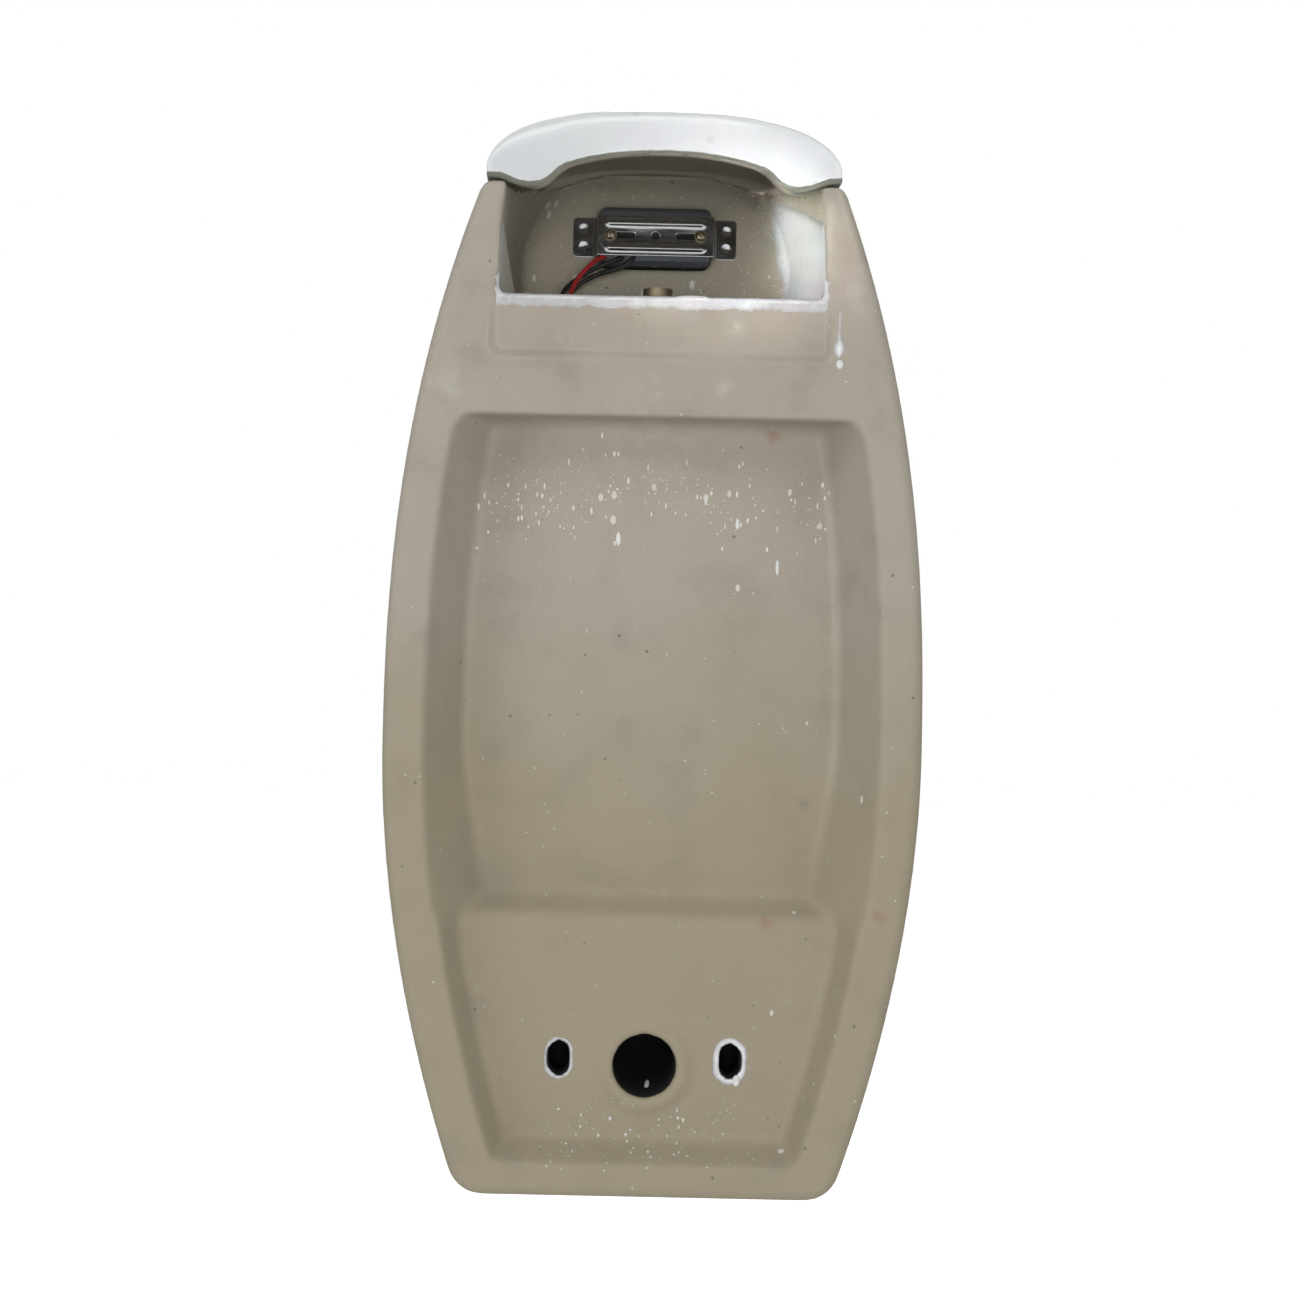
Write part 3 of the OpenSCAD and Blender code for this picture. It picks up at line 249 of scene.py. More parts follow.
body = skin_of("china_body_shell", outer_columns, len(body_levels) - 1, outer_place)
clear_x = 300
clear_z = 260
cut(body, box_solid("behind_wall", (-clear_x, 0, -600), (clear_x, 40, 300)))
arch = [(x, float(rim_z(x))) for x in np.linspace(-rim_flat_x, rim_flat_x, 65)]
above_rim = [(-clear_x, clear_z), (-clear_x, shoulder_z)] + arch + [(clear_x, shoulder_z), (clear_x, clear_z)]
cut(body, prism("above_rim", above_rim, -20, 400))

# The recess behind the bowl, with the bowl's bulging back, the ledge that the body hangs by, and
# the outlet's panel with its raised ring
ledge_z = -18
panel_top_z = -355
rim_w = 28
valley_d = 46
bulge = 16
bulge_z = -110
panel_d = 25
recess_bottom_z = bottom_z + 23
cove_r = 16
slope_top_z = panel_top_z + 15
slope_w = 25
panel_slope_w = 12
slope_growth = 9
slope_grows_z = -225
foot_wall_h = 13
outlet_r = 21.5
outlet_z = -455
ring_r = 33
ring_h = 3
ring_bevel = 4


def bulge_share(z):
    """How far the bowl's back bulges into the recess at height z."""
    above = 1 - 0.25 * ((z - bulge_z) / (ledge_z - bulge_z)) ** 2
    below = 1 - ((bulge_z - z) / (bulge_z - slope_top_z)) ** 2
    return np.clip(np.where(z > bulge_z, above, below), 0, 1)


def soft_min(a, b, r):
    """The lesser of a and b, blended over a distance r."""
    h = np.clip(0.5 + 0.5 * (b - a) / r, 0, 1)
    return b + (a - b) * h - r * h * (1 - h) * 0.5


def recess_depth(x, z):
    """Depth of the recess in front of the wall, less than nothing outside it."""
    x, z = np.asarray(x, float), np.asarray(z, float)
    low = soft_step((panel_top_z - z) / 15 + 0.6)
    edge = half_width(z) - rim_w - 3 * low
    slope = slope_w - (slope_w - panel_slope_w) * low
    slope = slope + slope_growth * soft_step((slope_grows_z - z) / 110) * (1 - low)
    foot = edge - slope
    across = np.clip(np.abs(x) / np.maximum(foot, 1), 0, 1)
    bowl = valley_d - bulge * bulge_share(z) * (1 - across ** 3)
    floor_d = bowl + (panel_d - bowl) * soft_step((panel_top_z + 17 - z) / 19)
    side = (edge - np.abs(x)) * (valley_d + (panel_d - valley_d) * low) / slope
    foot_wall = (z - recess_bottom_z) * panel_d / foot_wall_h
    depth = soft_min(soft_min(side, floor_d, 9), foot_wall, 8) - edge_round(ledge_z - z, cove_r)
    from_outlet = np.hypot(x, z - outlet_z)
    ring = panel_d - ring_h * np.clip((ring_r - from_outlet) / ring_bevel, 0, 1)
    return np.where(from_outlet < ring_r, np.minimum(depth, ring), depth)


cove_drops = np.array([0, 0.3, 1, 2, 3.5, 6, 9, 12.5, 16, 20])
recess_rows = np.concatenate([[ledge_z], ledge_z - cove_drops,
                              np.linspace(ledge_z - 23, recess_bottom_z - 3, 190)])
recess_across = 150


def recess_place(i, j):
    z = float(recess_rows[j])
    reach = float(half_width(z)) - rim_w + 6
    x = reach * (2 * i / recess_across - 1)
    if j == 0 or i in (0, recess_across) or j == len(recess_rows) - 1:
        return (x, 12, z)
    return (x, -max(float(recess_depth(x, z)), -5), z)


cut(body, skin_of("recess", recess_across, len(recess_rows) - 1, recess_place))

# The bowl
bowl_half_w = 127
bowl_neck_half_w = 44
bowl_bottom_half_w = 60
bowl_top_z = -26
bowl_floor_z = -335
bowl_mid_d = 160
bowl_power = 2.8
lip_z = -297
lip_w = 32
drain_d = 165
bowl_wide_from_z = -220
bowl_wide_to_z = -150


def bowl_half_width(z):
    low_share = np.clip((bowl_wide_from_z - z) / (bowl_wide_from_z - bowl_floor_z), 0, None)
    high_share = np.clip((z - bowl_wide_to_z) / (bowl_top_z - bowl_wide_to_z), 0, None)
    low_round = np.sqrt(np.clip(1 - low_share ** 3, 0, 1))
    high_round = np.sqrt(np.clip(1 - high_share ** 3, 0, 1))
    below = bowl_bottom_half_w + (bowl_half_w - bowl_bottom_half_w) * low_round
    above = bowl_neck_half_w + (bowl_half_w - bowl_neck_half_w) * high_round
    return np.where(z < bowl_wide_from_z, below, np.where(z > bowl_wide_to_z, above, bowl_half_w))


def bowl_front(z):
    low_d = drain_d + bowl_bottom_half_w
    fall = np.clip((lip_z - z) / (lip_z - bowl_floor_z), 0, 1)
    return low_d + (body_d - lip_w - low_d) * np.sqrt(np.clip(1 - fall ** 2.2, 0, 1))


floor_rises = np.array([0, 1, 2.5, 5, 8, 12, 17, 22, 28, 33, 37.9])
top_drops = np.array([28, 22, 16, 11, 7, 4, 2, 0.6, 0])
bowl_levels = np.concatenate([bowl_floor_z + floor_rises, [lip_z], np.linspace(lip_z + 6, -60, 44),
                              bowl_top_z - top_drops])
bowl_around = 128


def bowl_place(i, j):
    z = float(bowl_levels[j])
    a = 2 * pi * i / bowl_around
    ahead = (float(bowl_front(z)) if z < lip_z else body_d + 90) - bowl_mid_d
    behind = bowl_mid_d - (valley_d + wall - bulge * float(bulge_share(z)))
    reach = ahead if sin(a) >= 0 else -behind
    return (float(bowl_half_width(z)) * np.sign(cos(a)) * abs(cos(a)) ** (2 / bowl_power),
            -bowl_mid_d - reach * abs(sin(a)) ** (2 / bowl_power), z)


cut(body, skin_of("bowl", bowl_around, len(bowl_levels) - 1, bowl_place))

# The service compartment, open to the back above its lip and open to the top
hatch_floor_z = 6
hatch_lip_z = 64
hatch_half_w = 111
hatch_top_half_w = 107
hatch_d = 158
hatch_corner_r = 24
lip_t = 11
front_half_w = 98
front_narrowing = 37
narrow_from_z = 100
narrow_to_z = 177


def hatch_front_w(z):
    """Half width of the compartment at its front."""
    share = np.clip((z - narrow_from_z) / (narrow_to_z - narrow_from_z), 0, None)
    return front_half_w - front_narrowing * share ** 2


hatch_levels = np.concatenate([[hatch_floor_z], np.linspace(hatch_floor_z + 4, hatch_lip_z, 12),
                               [hatch_lip_z + 0.01], np.linspace(hatch_lip_z + 4, 215, 44)])
side_cells = 12
corner_cells = 12
front_cells = 16
back_cells = 12
hatch_around = 2 * side_cells + 2 * corner_cells + front_cells + back_cells


def hatch_place(i, j):
    z = float(hatch_levels[j])
    closed = z <= hatch_lip_z
    draw = (z - hatch_lip_z) / (shoulder_z - hatch_lip_z)
    back_w = hatch_half_w - 3 if closed else hatch_half_w + (hatch_top_half_w - hatch_half_w) * draw
    back_y = -lip_t if closed else 12
    front_w = max(float(hatch_front_w(z)), 30)
    d = min(hatch_d, float(front_depth(z)) - 14)
    r = hatch_corner_r
    front_end = side_cells + 2 * corner_cells + front_cells
    if i > front_end + side_cells:
        return (back_w * (2 * (i - front_end - side_cells) / back_cells - 1), back_y, z)
    mirror = 1 if i <= front_end / 2 else -1
    k = i if mirror == 1 else front_end + side_cells - i
    if k <= side_cells:
        t = k / side_cells
        return (mirror * (back_w + (front_w - back_w) * t), back_y + (-d + r - back_y) * t, z)
    if k <= side_cells + corner_cells:
        a = pi / 2 * (k - side_cells) / corner_cells
        return (mirror * (front_w - r + r * cos(a)), -d + r - r * sin(a), z)
    share = (k - side_cells - corner_cells) / (front_cells / 2)
    return (mirror * (front_w - r) * (1 - share), -d, z)


cut(body, skin_of("compartment", hatch_around, len(hatch_levels) - 1, hatch_place))

# Ways through the china: outlet, drain, the strainer's seat, the spreader's hole, the two fixing
# slots, and the sensor's hole with the seat of its bezel
elbow_r = 24
slot_x = 58
slot_z = outlet_z + 4
slot_w = 14
slot_h = 23
sensor_z = 130
out_path = [(0, 12 - t, outlet_z) for t in (0, 16, 32, 49)]
out_path += [(0, -37 - elbow_r * sin(a), outlet_z + elbow_r - elbow_r * cos(a))
             for a in np.linspace(0.12, pi / 2, 9)]
out_path += [(0, -37 - elbow_r, outlet_z + elbow_r + h) for h in (12, 26, 40)]
cut(body, swept("outlet_way", out_path, outlet_r, 64))
cut(body, swept("drain_way", [(0, -drain_d, z) for z in (-420, -380, -345, -330)], outlet_r, 48))
cut(body, swept("strainer_seat", [(0, -drain_d, z) for z in (bowl_floor_z - 4, -320)], 36, 64))
cut(body, swept("spreader_hole", [(0, -80, z) for z in (-30, 12)], 10.75, 32))
for side in (-1, 1):
    cut(body, prism("slot", rounded(slot_w, slot_h, slot_w / 2 - 0.01, side * slot_x, slot_z), -8, 54))
cut(body, prism("sensor_hole", rounded(82, 44, 6, 0, sensor_z), 150, 220))
cut(body, prism("bezel_seat", rounded(99, 61, 13, 0, sensor_z), 166.5, 220))

casting_grain = 2.8
modified(body, "REMESH", mode="VOXEL", voxel_size=casting_grain * mm, adaptivity=0)
modified(body, "SMOOTH", factor=0.5, iterations=5)


def coords(mesh):
    """The points of a mesh, in mm."""
    flat = np.zeros(len(mesh.vertices) * 3)
    mesh.vertices.foreach_get("co", flat)
    return flat.reshape(-1, 3) / mm


# The bowl's mouth is sponged smoother than the rest
mouth_from_d = 110
mouth_low_z = -318
mouth_top_z = 20
x, y, z = coords(body.data).T
mouth = body.vertex_groups.new(name="mouth")
in_mouth = (y < -mouth_from_d) & (z < mouth_top_z) & (z > mouth_low_z)
mouth.add(np.flatnonzero(in_mouth).tolist(), 1.0, "REPLACE")
modified(body, "SMOOTH", factor=0.5, iterations=24, vertex_group="mouth")
body.vertex_groups.clear()

# The shoulders' corners are sponged round before the clay is fired
corner_r = 8
points = coords(body.data)
corner_x = half_width(points[:, 2]) - corner_r
out_x = np.abs(points[:, 0]) - corner_x
out_z = points[:, 2] - (shoulder_z - corner_r)
reach = np.hypot(out_x, out_z)
sharp = (out_x > 0) & (out_z > 0) & (reach > corner_r)
drawn_in = np.where(sharp, corner_r / np.maximum(reach, 1), 1)
points[:, 0] = np.where(sharp, np.sign(points[:, 0]) * (corner_x + out_x * drawn_in), points[:, 0])
points[:, 2] = np.where(sharp, shoulder_z - corner_r + out_z * drawn_in, points[:, 2])
body.data.vertices.foreach_set("co", (points * mm).ravel())


def paint(mesh, name, values):
    """A number on each point of a mesh, for its material."""
    layer = mesh.attributes.new(name, "FLOAT", "POINT")
    layer.data.foreach_set("value", np.asarray(values, np.float32))


# The plain outside and the bowl need fewer faces than the back
deepest_way_d = 60
brow_from_d = 165
most_triangles = 190000
x, y, z = coords(body.data).T
plain = body.vertex_groups.new(name="plain")
outside = (y < -deepest_way_d) & ((z < hatch_floor_z) | (y < -brow_from_d))
plain.add(np.flatnonzero(outside).tolist(), 1.0, "REPLACE")
modified(body, "DECIMATE", ratio=most_triangles / (2 * len(body.data.polygons)), vertex_group="plain",
         vertex_group_factor=1.0)
body.vertex_groups.clear()

# Distances in mm from the edges of the glaze, above nothing where it is glazed
x, y, z = coords(body.data).T
power = plan_power(z)
within = 1 - (np.abs(x) / half_width(z)) ** power - (np.clip(-y, 0, None) / front_depth(z)) ** power
outer_skin = within < 0.053
back_face_d = 2.2
recess_reach_d = 54
back_face = y > -back_face_d
inner_half_w = np.interp(z, [hatch_lip_z, shoulder_z], [hatch_half_w, hatch_top_half_w])
in_hatch = (z > hatch_floor_z - 3) & (np.abs(x) < inner_half_w + 4) & ~outer_skin
near_recess = (y > -recess_depth(x, z) - 7) & (y > -recess_reach_d)
in_recess = (z <= hatch_floor_z - 3) & near_recess & ~outer_skin
bare = -20
lip_glaze = 2.2
lip_glaze_low_z = 54.4
wall_glaze_z = 114
wall_glaze_rise = 48
wall_glaze_d = 150
left_glaze_d = 134
left_glaze_h = 46
bare_rim_d = 12
right_slot_ring = 4.4
left_slot_ring = 2.8
glaze = np.full(len(x), 20.0)
glaze[in_recess] = bare
right_edge_x = np.interp(z, [64, 88, 151, 161, 172, 180], [95, 95, 82, 77, 68, 62])
glaze_top_z = wall_glaze_z + wall_glaze_rise * np.clip(-y / wall_glaze_d, 0, 1)
right_wall = np.minimum(-x - right_edge_x, glaze_top_z - z)
below_edge = wall_glaze_z - z
left_wall = np.where(x > 90, np.minimum(y + left_glaze_d * below_edge / left_glaze_h, below_edge), bare)
lip_top = np.where((y > -lip_t - 6) & (z < hatch_lip_z + 6), lip_glaze, bare)
glaze[in_hatch] = np.maximum(np.maximum(right_wall, left_wall), lip_top)[in_hatch]
glaze = np.where(z > rim_z(x) - 3, bare, glaze)
lip_band = back_face & (np.abs(x) < hatch_half_w + 1) & (z > 40) & (z < 75)
glaze = np.where(back_face, bare, glaze)
glaze = np.where(lip_band, np.minimum(z - lip_glaze_low_z, lip_glaze), glaze)
drip_x = -119
drip_low_z = 25
drip_top_z = 55
drip_half_w = 0.9 + 2.6 * np.exp(-((z - drip_low_z - 5) / 5) ** 2)
drip = drip_half_w - np.abs(x - drip_x) - np.clip(drip_low_z - z, 0, None) - np.clip(z - drip_top_z, 0, None)
glaze = np.where(back_face, np.maximum(glaze, 2 * drip), glaze)
outer_edge = (outer_skin | (y > -recess_reach_d)) & ~back_face & ~in_hatch & ~in_recess
glaze = np.where(outer_edge, np.minimum(glaze, (-y - bare_rim_d) * 2.5), glaze)
in_trap = (np.hypot(x, z - outlet_z) < outlet_r + 3) & (y < -23) & (y > -100)
glaze[in_trap] = bare
beyond_z = np.clip(np.abs(z - slot_z) - (slot_h - slot_w) / 2, 0, None)
round_slot = np.hypot(np.abs(x) - slot_x, beyond_z) - slot_w / 2
slot_glaze = np.minimum(np.where(x < 0, right_slot_ring, left_slot_ring) - round_slot, round_slot + 2)
glaze = np.where((y > -60) & (y < -18) & (round_slot < 12), np.maximum(glaze, 2 * slot_glaze), glaze)
paint(body.data, "glaze", glaze)
# Inside the outlet and inside the fixing slots the china is painted near black: painted shade for the dark in
# these holes.
in_slot = (round_slot < 1.2) & (y < -panel_d - 1.5) & (y > -60)
paint(body.data, "deep_painted_shade", (in_trap & (y < -25.5)) | in_slot)

# Signed distance in mm from the groove that the mould leaves below the lip
groove_half_w = hatch_half_w + 1.75
groove_low_z = hatch_lip_z - 40.75
groove_corner_r = 6.75
beyond_x = np.abs(x) - (groove_half_w - groove_corner_r)
beyond_z = (groove_low_z + groove_corner_r) - z
corner = np.hypot(np.clip(beyond_x, 0, None), np.clip(beyond_z, 0, None))
paint(body.data, "groove", corner + np.minimum(np.maximum(beyond_x, beyond_z), 0) - groove_corner_r)
paint(body.data, "groove_side", back_face * soft_step((56 - z) / 8))


def blots(spots):
    """Soft round marks on the back, each given as x, z, radius and strength."""
    total = np.zeros(len(x))
    for cx, cz, r, strength in spots:
        total += strength * np.exp(-((x - cx) ** 2 + (z - cz) ** 2) / r ** 2)
    return np.where(y > -60, total, 0)


recess_floor_half_w = 128
ledge_spatter_z = -70
ledge_spatter_h = 26
outlet_spatter_z = -470
in_floor = in_recess & (np.abs(x) < recess_floor_half_w)
ledge_spatter = np.exp(-((z - ledge_spatter_z) / ledge_spatter_h) ** 2)
outlet_spatter = 0.55 * soft_step((outlet_spatter_z - z) / 25) * (np.abs(x) < 70)
spatter = np.where(in_floor, 0.03 + 0.9 * ledge_spatter + outlet_spatter, 0.02)
inner_wall = in_hatch & ~back_face & (y < -20)
beside_glaze = np.exp(-((np.abs(x) - right_edge_x) / 5) ** 2)
spatter = np.where(inner_wall, 0.30 + 0.7 * soft_step((112 - z) / 24) + 1.6 * beside_glaze, spatter)
paint(body.data, "spatter", spatter)
paint(body.data, "earthy", np.clip(soft_step((-50 - z) / 290) * (y > -60) + 0.35 * inner_wall, 0, 1))
iron_spots = [(-80, -25, 5, 0.8), (-81, -356, 4, 0.7), (-154, -348, 4, 0.8), (60, -372, 9, 0.25)]
chalk_spots = [(64, 33, 4, 0.8), (35, 25, 4, 0.6), (-49, 44, 5, 0.7), (5, 2, 7, 0.5), (-43, 2, 6, 0.5),
               (142, -2, 16, 0.45), (-132, 70, 14, 0.3), (0, -30, 40, 0.2)]
# Darker patches on the back: painted shade in the two lower corners of the recess, and patches below the
# compartment's lip, by the outlet and in one small spot.
corner_shade_and_patches = [(-40, -420, 30, 0.3), (110, -330, 26, 0.5), (-108, -330, 26, 0.5), (0, 50, 60, 0.35),
              (-70, 48, 40, 0.3), (75, 46, 30, 0.3), (-107, -277, 3, 0.8)]
paint(body.data, "stained", blots(iron_spots))
paint(body.data, "chalky", blots(chalk_spots))
paint(body.data, "dusky", blots(corner_shade_and_patches))


def stands_for(piece, node, body_name="urinal"):
    """Makes a piece ride on a body in place of a CAD node."""
    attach(piece, body_name)
    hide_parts(node)


stands_for(body, "china_body")


def fill(tree, socket, value):
    """Links a socket to another node's output, or sets it to a number, a vector or a colour."""
    if isinstance(value, bpy.types.NodeSocket):
        tree.links.new(value, socket)
    else:
        socket.default_value = (*value, 1) if socket.type == "RGBA" else value


def put(tree, kind, inputs=None, **settings):
    """Adds a shader node."""
    node = tree.nodes.new("ShaderNode" + kind)
    for key, value in settings.items():
        setattr(node, key, value)
    for key, value in (inputs or {}).items():
        fill(tree, node.inputs[key], value)
    return node


def worked(tree, operation, *values):
    """Result of a Math node."""
    return put(tree, "Math", dict(enumerate(values)), operation=operation).outputs[0]


def times(tree, a, b):
    return worked(tree, "MULTIPLY", a, b)


def plus(tree, a, b):
    return worked(tree, "ADD", a, b)


def less(tree, a, b):
    return worked(tree, "SUBTRACT", a, b)


def ramped(tree, value, start, end, low=0.0, high=1.0):
    """A value taken smoothly from one range to another."""
    inputs = {"Value": value, "From Min": start, "From Max": end, "To Min": low, "To Max": high}
    return put(tree, "MapRange", inputs, interpolation_type="SMOOTHSTEP").outputs[0]


def blended(tree, share, a, b):
    """Colour between a and b."""
    return put(tree, "Mix", {"Factor": share, "A": a, "B": b}, data_type="RGBA").outputs["Result"]


def own_place(tree):
    """The piece's own coordinates."""
    return put(tree, "TexCoord").outputs["Object"]


def stretched(tree, stretch):
    """The piece's own coordinates, stretched along its axes."""
    return put(tree, "Mapping", {"Vector": own_place(tree), "Scale": stretch}).outputs[0]


def noise(tree, scale, detail=3.0, at=None):
    """Noise fixed to the piece, or to the place given."""
    inputs = {"Vector": at or own_place(tree), "Scale": scale, "Detail": detail}
    return put(tree, "TexNoise", inputs).outputs["Fac"]


def effect(name, takes, gives):
    """An empty node group with named inputs and outputs."""
    group = bpy.data.node_groups.new(name, "ShaderNodeTree")
    for label, value in takes.items():
        kind = {1: "Float", 3: "Vector", 4: "Color"}[len(value) if isinstance(value, tuple) else 1]
        socket = group.interface.new_socket(label, in_out="INPUT", socket_type="NodeSocket" + kind)
        socket.default_value = value
    for label, kind in gives.items():
        group.interface.new_socket(label, in_out="OUTPUT", socket_type="NodeSocket" + kind)
    return group, group.nodes.new("NodeGroupInput").outputs, group.nodes.new("NodeGroupOutput").inputs


def use(tree, group, **values):
    """Places an effect in a material and gives its outputs."""
    node = tree.nodes.new("ShaderNodeGroup")
    node.node_tree = group
    for key, value in values.items():
        fill(tree, node.inputs[key], value)
    return node.outputs


def finish(name, colour, **constants):
    """A new material: its tree, and its shader with the plain values that are the same all over."""
    material = bpy.data.materials.new(name)
    material.use_nodes = True
    material.diffuse_color = (*colour, 1)
    shader = material.node_tree.nodes["Principled BSDF"]
    shader.inputs["Base Color"].default_value = (*colour, 1)
    for key, value in constants.items():
        shader.inputs[key.replace("_", " ")].default_value = value
    return material, material.node_tree, shader


def feed(tree, shader, height=None, relief=1.0, **outputs):
    """Feeds a shader's sockets, with a height in mm through a Bump node."""
    for key, value in outputs.items():
        tree.links.new(value, shader.inputs[key.replace("_", " ")])
    if height is not None:
        bump = put(tree, "Bump", {"Height": height, "Distance": mm * relief, "Strength": 1.0})
        tree.links.new(bump.outputs["Normal"], shader.inputs["Normal"])


def dress(piece, material, smooth_below=None):
    """Gives a piece its material, shaded smooth, with edges sharper than the angle left sharp."""
    piece.data.materials.clear()
    piece.data.materials.append(material)
    piece.data.shade_smooth()
    if smooth_below is not None:
        piece.data.set_sharp_from_angle(angle=radians(smooth_below))


def named(tree, name):
    """A number painted on the piece."""
    return put(tree, "Attribute", attribute_name=name).outputs["Fac"]


# Edge of a glaze: where it has run, and the bead that it dries to along its edge
glaze_edge, inner, outer = effect("glaze_edge", {"Distance": 0.0, "Raggedness": 1.0},
                                  {"Glazed": "Float", "Thick": "Float", "Height": "Float"})
tree = glaze_edge
runs = less(tree, noise(tree, 75, 3), 0.5)
nicks = times(tree, less(tree, noise(tree, 320, 2), 0.5), 0.45)
wander = times(tree, plus(tree, runs, nicks), inner["Raggedness"])
distance = plus(tree, inner["Distance"], wander)
bead = times(tree, ramped(tree, distance, 2.5, 9), -0.3)
fill(tree, outer["Glazed"], ramped(tree, distance, -0.1, 0.5))
fill(tree, outer["Thick"], ramped(tree, distance, 0.2, 7.0))
fill(tree, outer["Height"], plus(tree, ramped(tree, distance, 0, 1.6), bead))

# Spatter: round specks of glaze, sparse or dense as the amount says
specks, inner, outer = effect("specks", {"Amount": 0.5, "Spacing": 300.0, "Stretch": (1, 1, 1)},
                              {"Mask": "Float"})
tree = specks
cells = put(tree, "TexVoronoi", {"Vector": stretched(tree, inner["Stretch"]), "Scale": inner["Spacing"],
                                 "Randomness": 1.0}).outputs
pick = put(tree, "SeparateColor", {"Color": cells["Color"]}).outputs
kept = worked(tree, "LESS_THAN", pick["Red"], inner["Amount"])
reach = ramped(tree, pick["Green"], 0, 1, 0.12, 0.34)
dot = ramped(tree, less(tree, reach, cells["Distance"]), 0, 0.1)
fill(tree, outer["Mask"], times(tree, dot, kept))

clay_pale = (0.376, 0.342, 0.284)
clay_earthy = (0.325, 0.287, 0.203)
clay_dark = (0.235, 0.205, 0.160)
chalk_and_highlight = (0.520, 0.495, 0.440)
iron_stain = (0.290, 0.150, 0.095)
spatter_colour = (0.640, 0.620, 0.560)
pit_shade_colour = (0.120, 0.100, 0.080)
# Near black: painted shade for inside the outlet and the fixing slots
painted_shade_black = (0.0014, 0.0012, 0.0012)
glaze_thin = (0.470, 0.462, 0.480)
glaze_thick = (0.780, 0.800, 0.800)
fired, tree, shader = finish("fired_china", clay_pale, Coat_Roughness=0.04)
edge = use(tree, glaze_edge, Distance=named(tree, "glaze"), Raggedness=6.5)
earthy = plus(tree, named(tree, "earthy"), less(tree, noise(tree, 9, 4), 0.5))
smudge = times(tree, ramped(tree, noise(tree, 26, 5), 0.48, 0.78), 0.34)
dusk = times(tree, named(tree, "dusky"), ramped(tree, noise(tree, 14, 4), 0.3, 0.7))
chalk = times(tree, named(tree, "chalky"), ramped(tree, noise(tree, 60, 4), 0.42, 0.62))
rust = times(tree, named(tree, "stained"), ramped(tree, noise(tree, 110, 3), 0.35, 0.6))
sand = noise(tree, 900, 2)
amount = named(tree, "spatter")
fine = use(tree, specks, Amount=times(tree, amount, 0.42), Spacing=420.0)["Mask"]
coarse = use(tree, specks, Amount=times(tree, amount, 0.30), Spacing=140.0, Stretch=(1, 1, 0.62))["Mask"]
spattered = worked(tree, "MAXIMUM", fine, coarse)
# Small pits in the bare clay, painted dark: painted shade in each pit.
shaded_pits = use(tree, specks, Amount=0.014, Spacing=260.0)["Mask"]
# The groove below the lip: its clay is darker in the groove, as painted shade, and paler along its ridge, as
# a painted highlight; the groove's depth also goes into the height.
groove = worked(tree, "ABSOLUTE", named(tree, "groove"))
worn_soft = times(tree, named(tree, "groove_side"), ramped(tree, noise(tree, 17, 3), 0.3, 0.65, 0.25, 1.0))
groove_depth_and_shade = times(tree, ramped(tree, groove, 3.2, 0.0), worn_soft)
from_ridge = worked(tree, "ABSOLUTE", less(tree, groove, 3.4))
ridge_painted_highlight = times(tree, ramped(tree, from_ridge, 1.6, 0.2), worn_soft)
clay = blended(tree, ramped(tree, earthy, 0.0, 1.0), clay_pale, clay_earthy)
for share, colour in ((plus(tree, smudge, dusk), clay_dark), (chalk, chalk_and_highlight), (rust, iron_stain),
                      (ramped(tree, sand, 0.35, 0.75, 0.0, 0.22), clay_dark),
                      (times(tree, spattered, 0.85), spatter_colour), (times(tree, shaded_pits, 0.7), pit_shade_colour),
                      (times(tree, groove_depth_and_shade, 0.26), clay_dark), (times(tree, ridge_painted_highlight, 0.12), chalk_and_highlight)):
    clay = blended(tree, share, clay, colour)
white = blended(tree, edge["Thick"], glaze_thin, glaze_thick)
pinholes = use(tree, specks, Amount=0.05, Spacing=90.0)["Mask"]
white = blended(tree, times(tree, pinholes, 0.12), white, clay_dark)
# Inside the outlet and the slots the china is near black and without gloss: painted shade.
lit = less(tree, 1.0, named(tree, "deep_painted_shade"))
china = blended(tree, lit, painted_shade_black, blended(tree, edge["Glazed"], clay, white))
gloss = times(tree, worked(tree, "MAXIMUM", edge["Glazed"], times(tree, spattered, 0.7)), lit)
grains = plus(tree, times(tree, sand, 0.12), times(tree, noise(tree, 210, 4), 0.24))
height = plus(tree, times(tree, edge["Height"], 0.55), times(tree, spattered, 0.22))
height = plus(tree, height, times(tree, grains, less(tree, 1.0, edge["Glazed"])))
height = less(tree, height, times(tree, groove_depth_and_shade, 0.6))
height = plus(tree, height, times(tree, noise(tree, 28, 1), 0.12))
feed(tree, shader, height, Base_Color=china, Roughness=ramped(tree, gloss, 0, 1, 0.78, 0.10),
     Coat_Weight=times(tree, times(tree, edge["Glazed"], lit), 0.35))
dress(body, fired)

# Drips and drops of glaze that have run down or splashed on the bare clay: each one a low,
# rounded bead of the same white glaze, melted to the china in the kiln.
bead_height = 0.42
drop_sizes = [(25, -98, 1.7, 5.0), (-56, -86, 1.4, 4.2), (-84, -115, 1.3, 5.5), (-3, -473, 1.8, 6.0),
              (-62.5, -464, 2.6, 4.0), (-20, 62.6, 12.0, 2.4), (-119.5, 20, 2.6, 3.2)]
chance = np.random.default_rng(7)
for k in range(70):
    drop_sizes.append((chance.uniform(-120, 122), chance.normal(-68, 20), chance.uniform(0.4, 1.0),
                       chance.uniform(0.6, 2.6)))
for k in range(26):
    drop_sizes.append((chance.uniform(-42, 58), chance.uniform(-515, -482), chance.uniform(0.4, 0.9),
                       chance.uniform(0.5, 1.6)))
bpy.context.view_layer.update()
bm = bmesh.new()
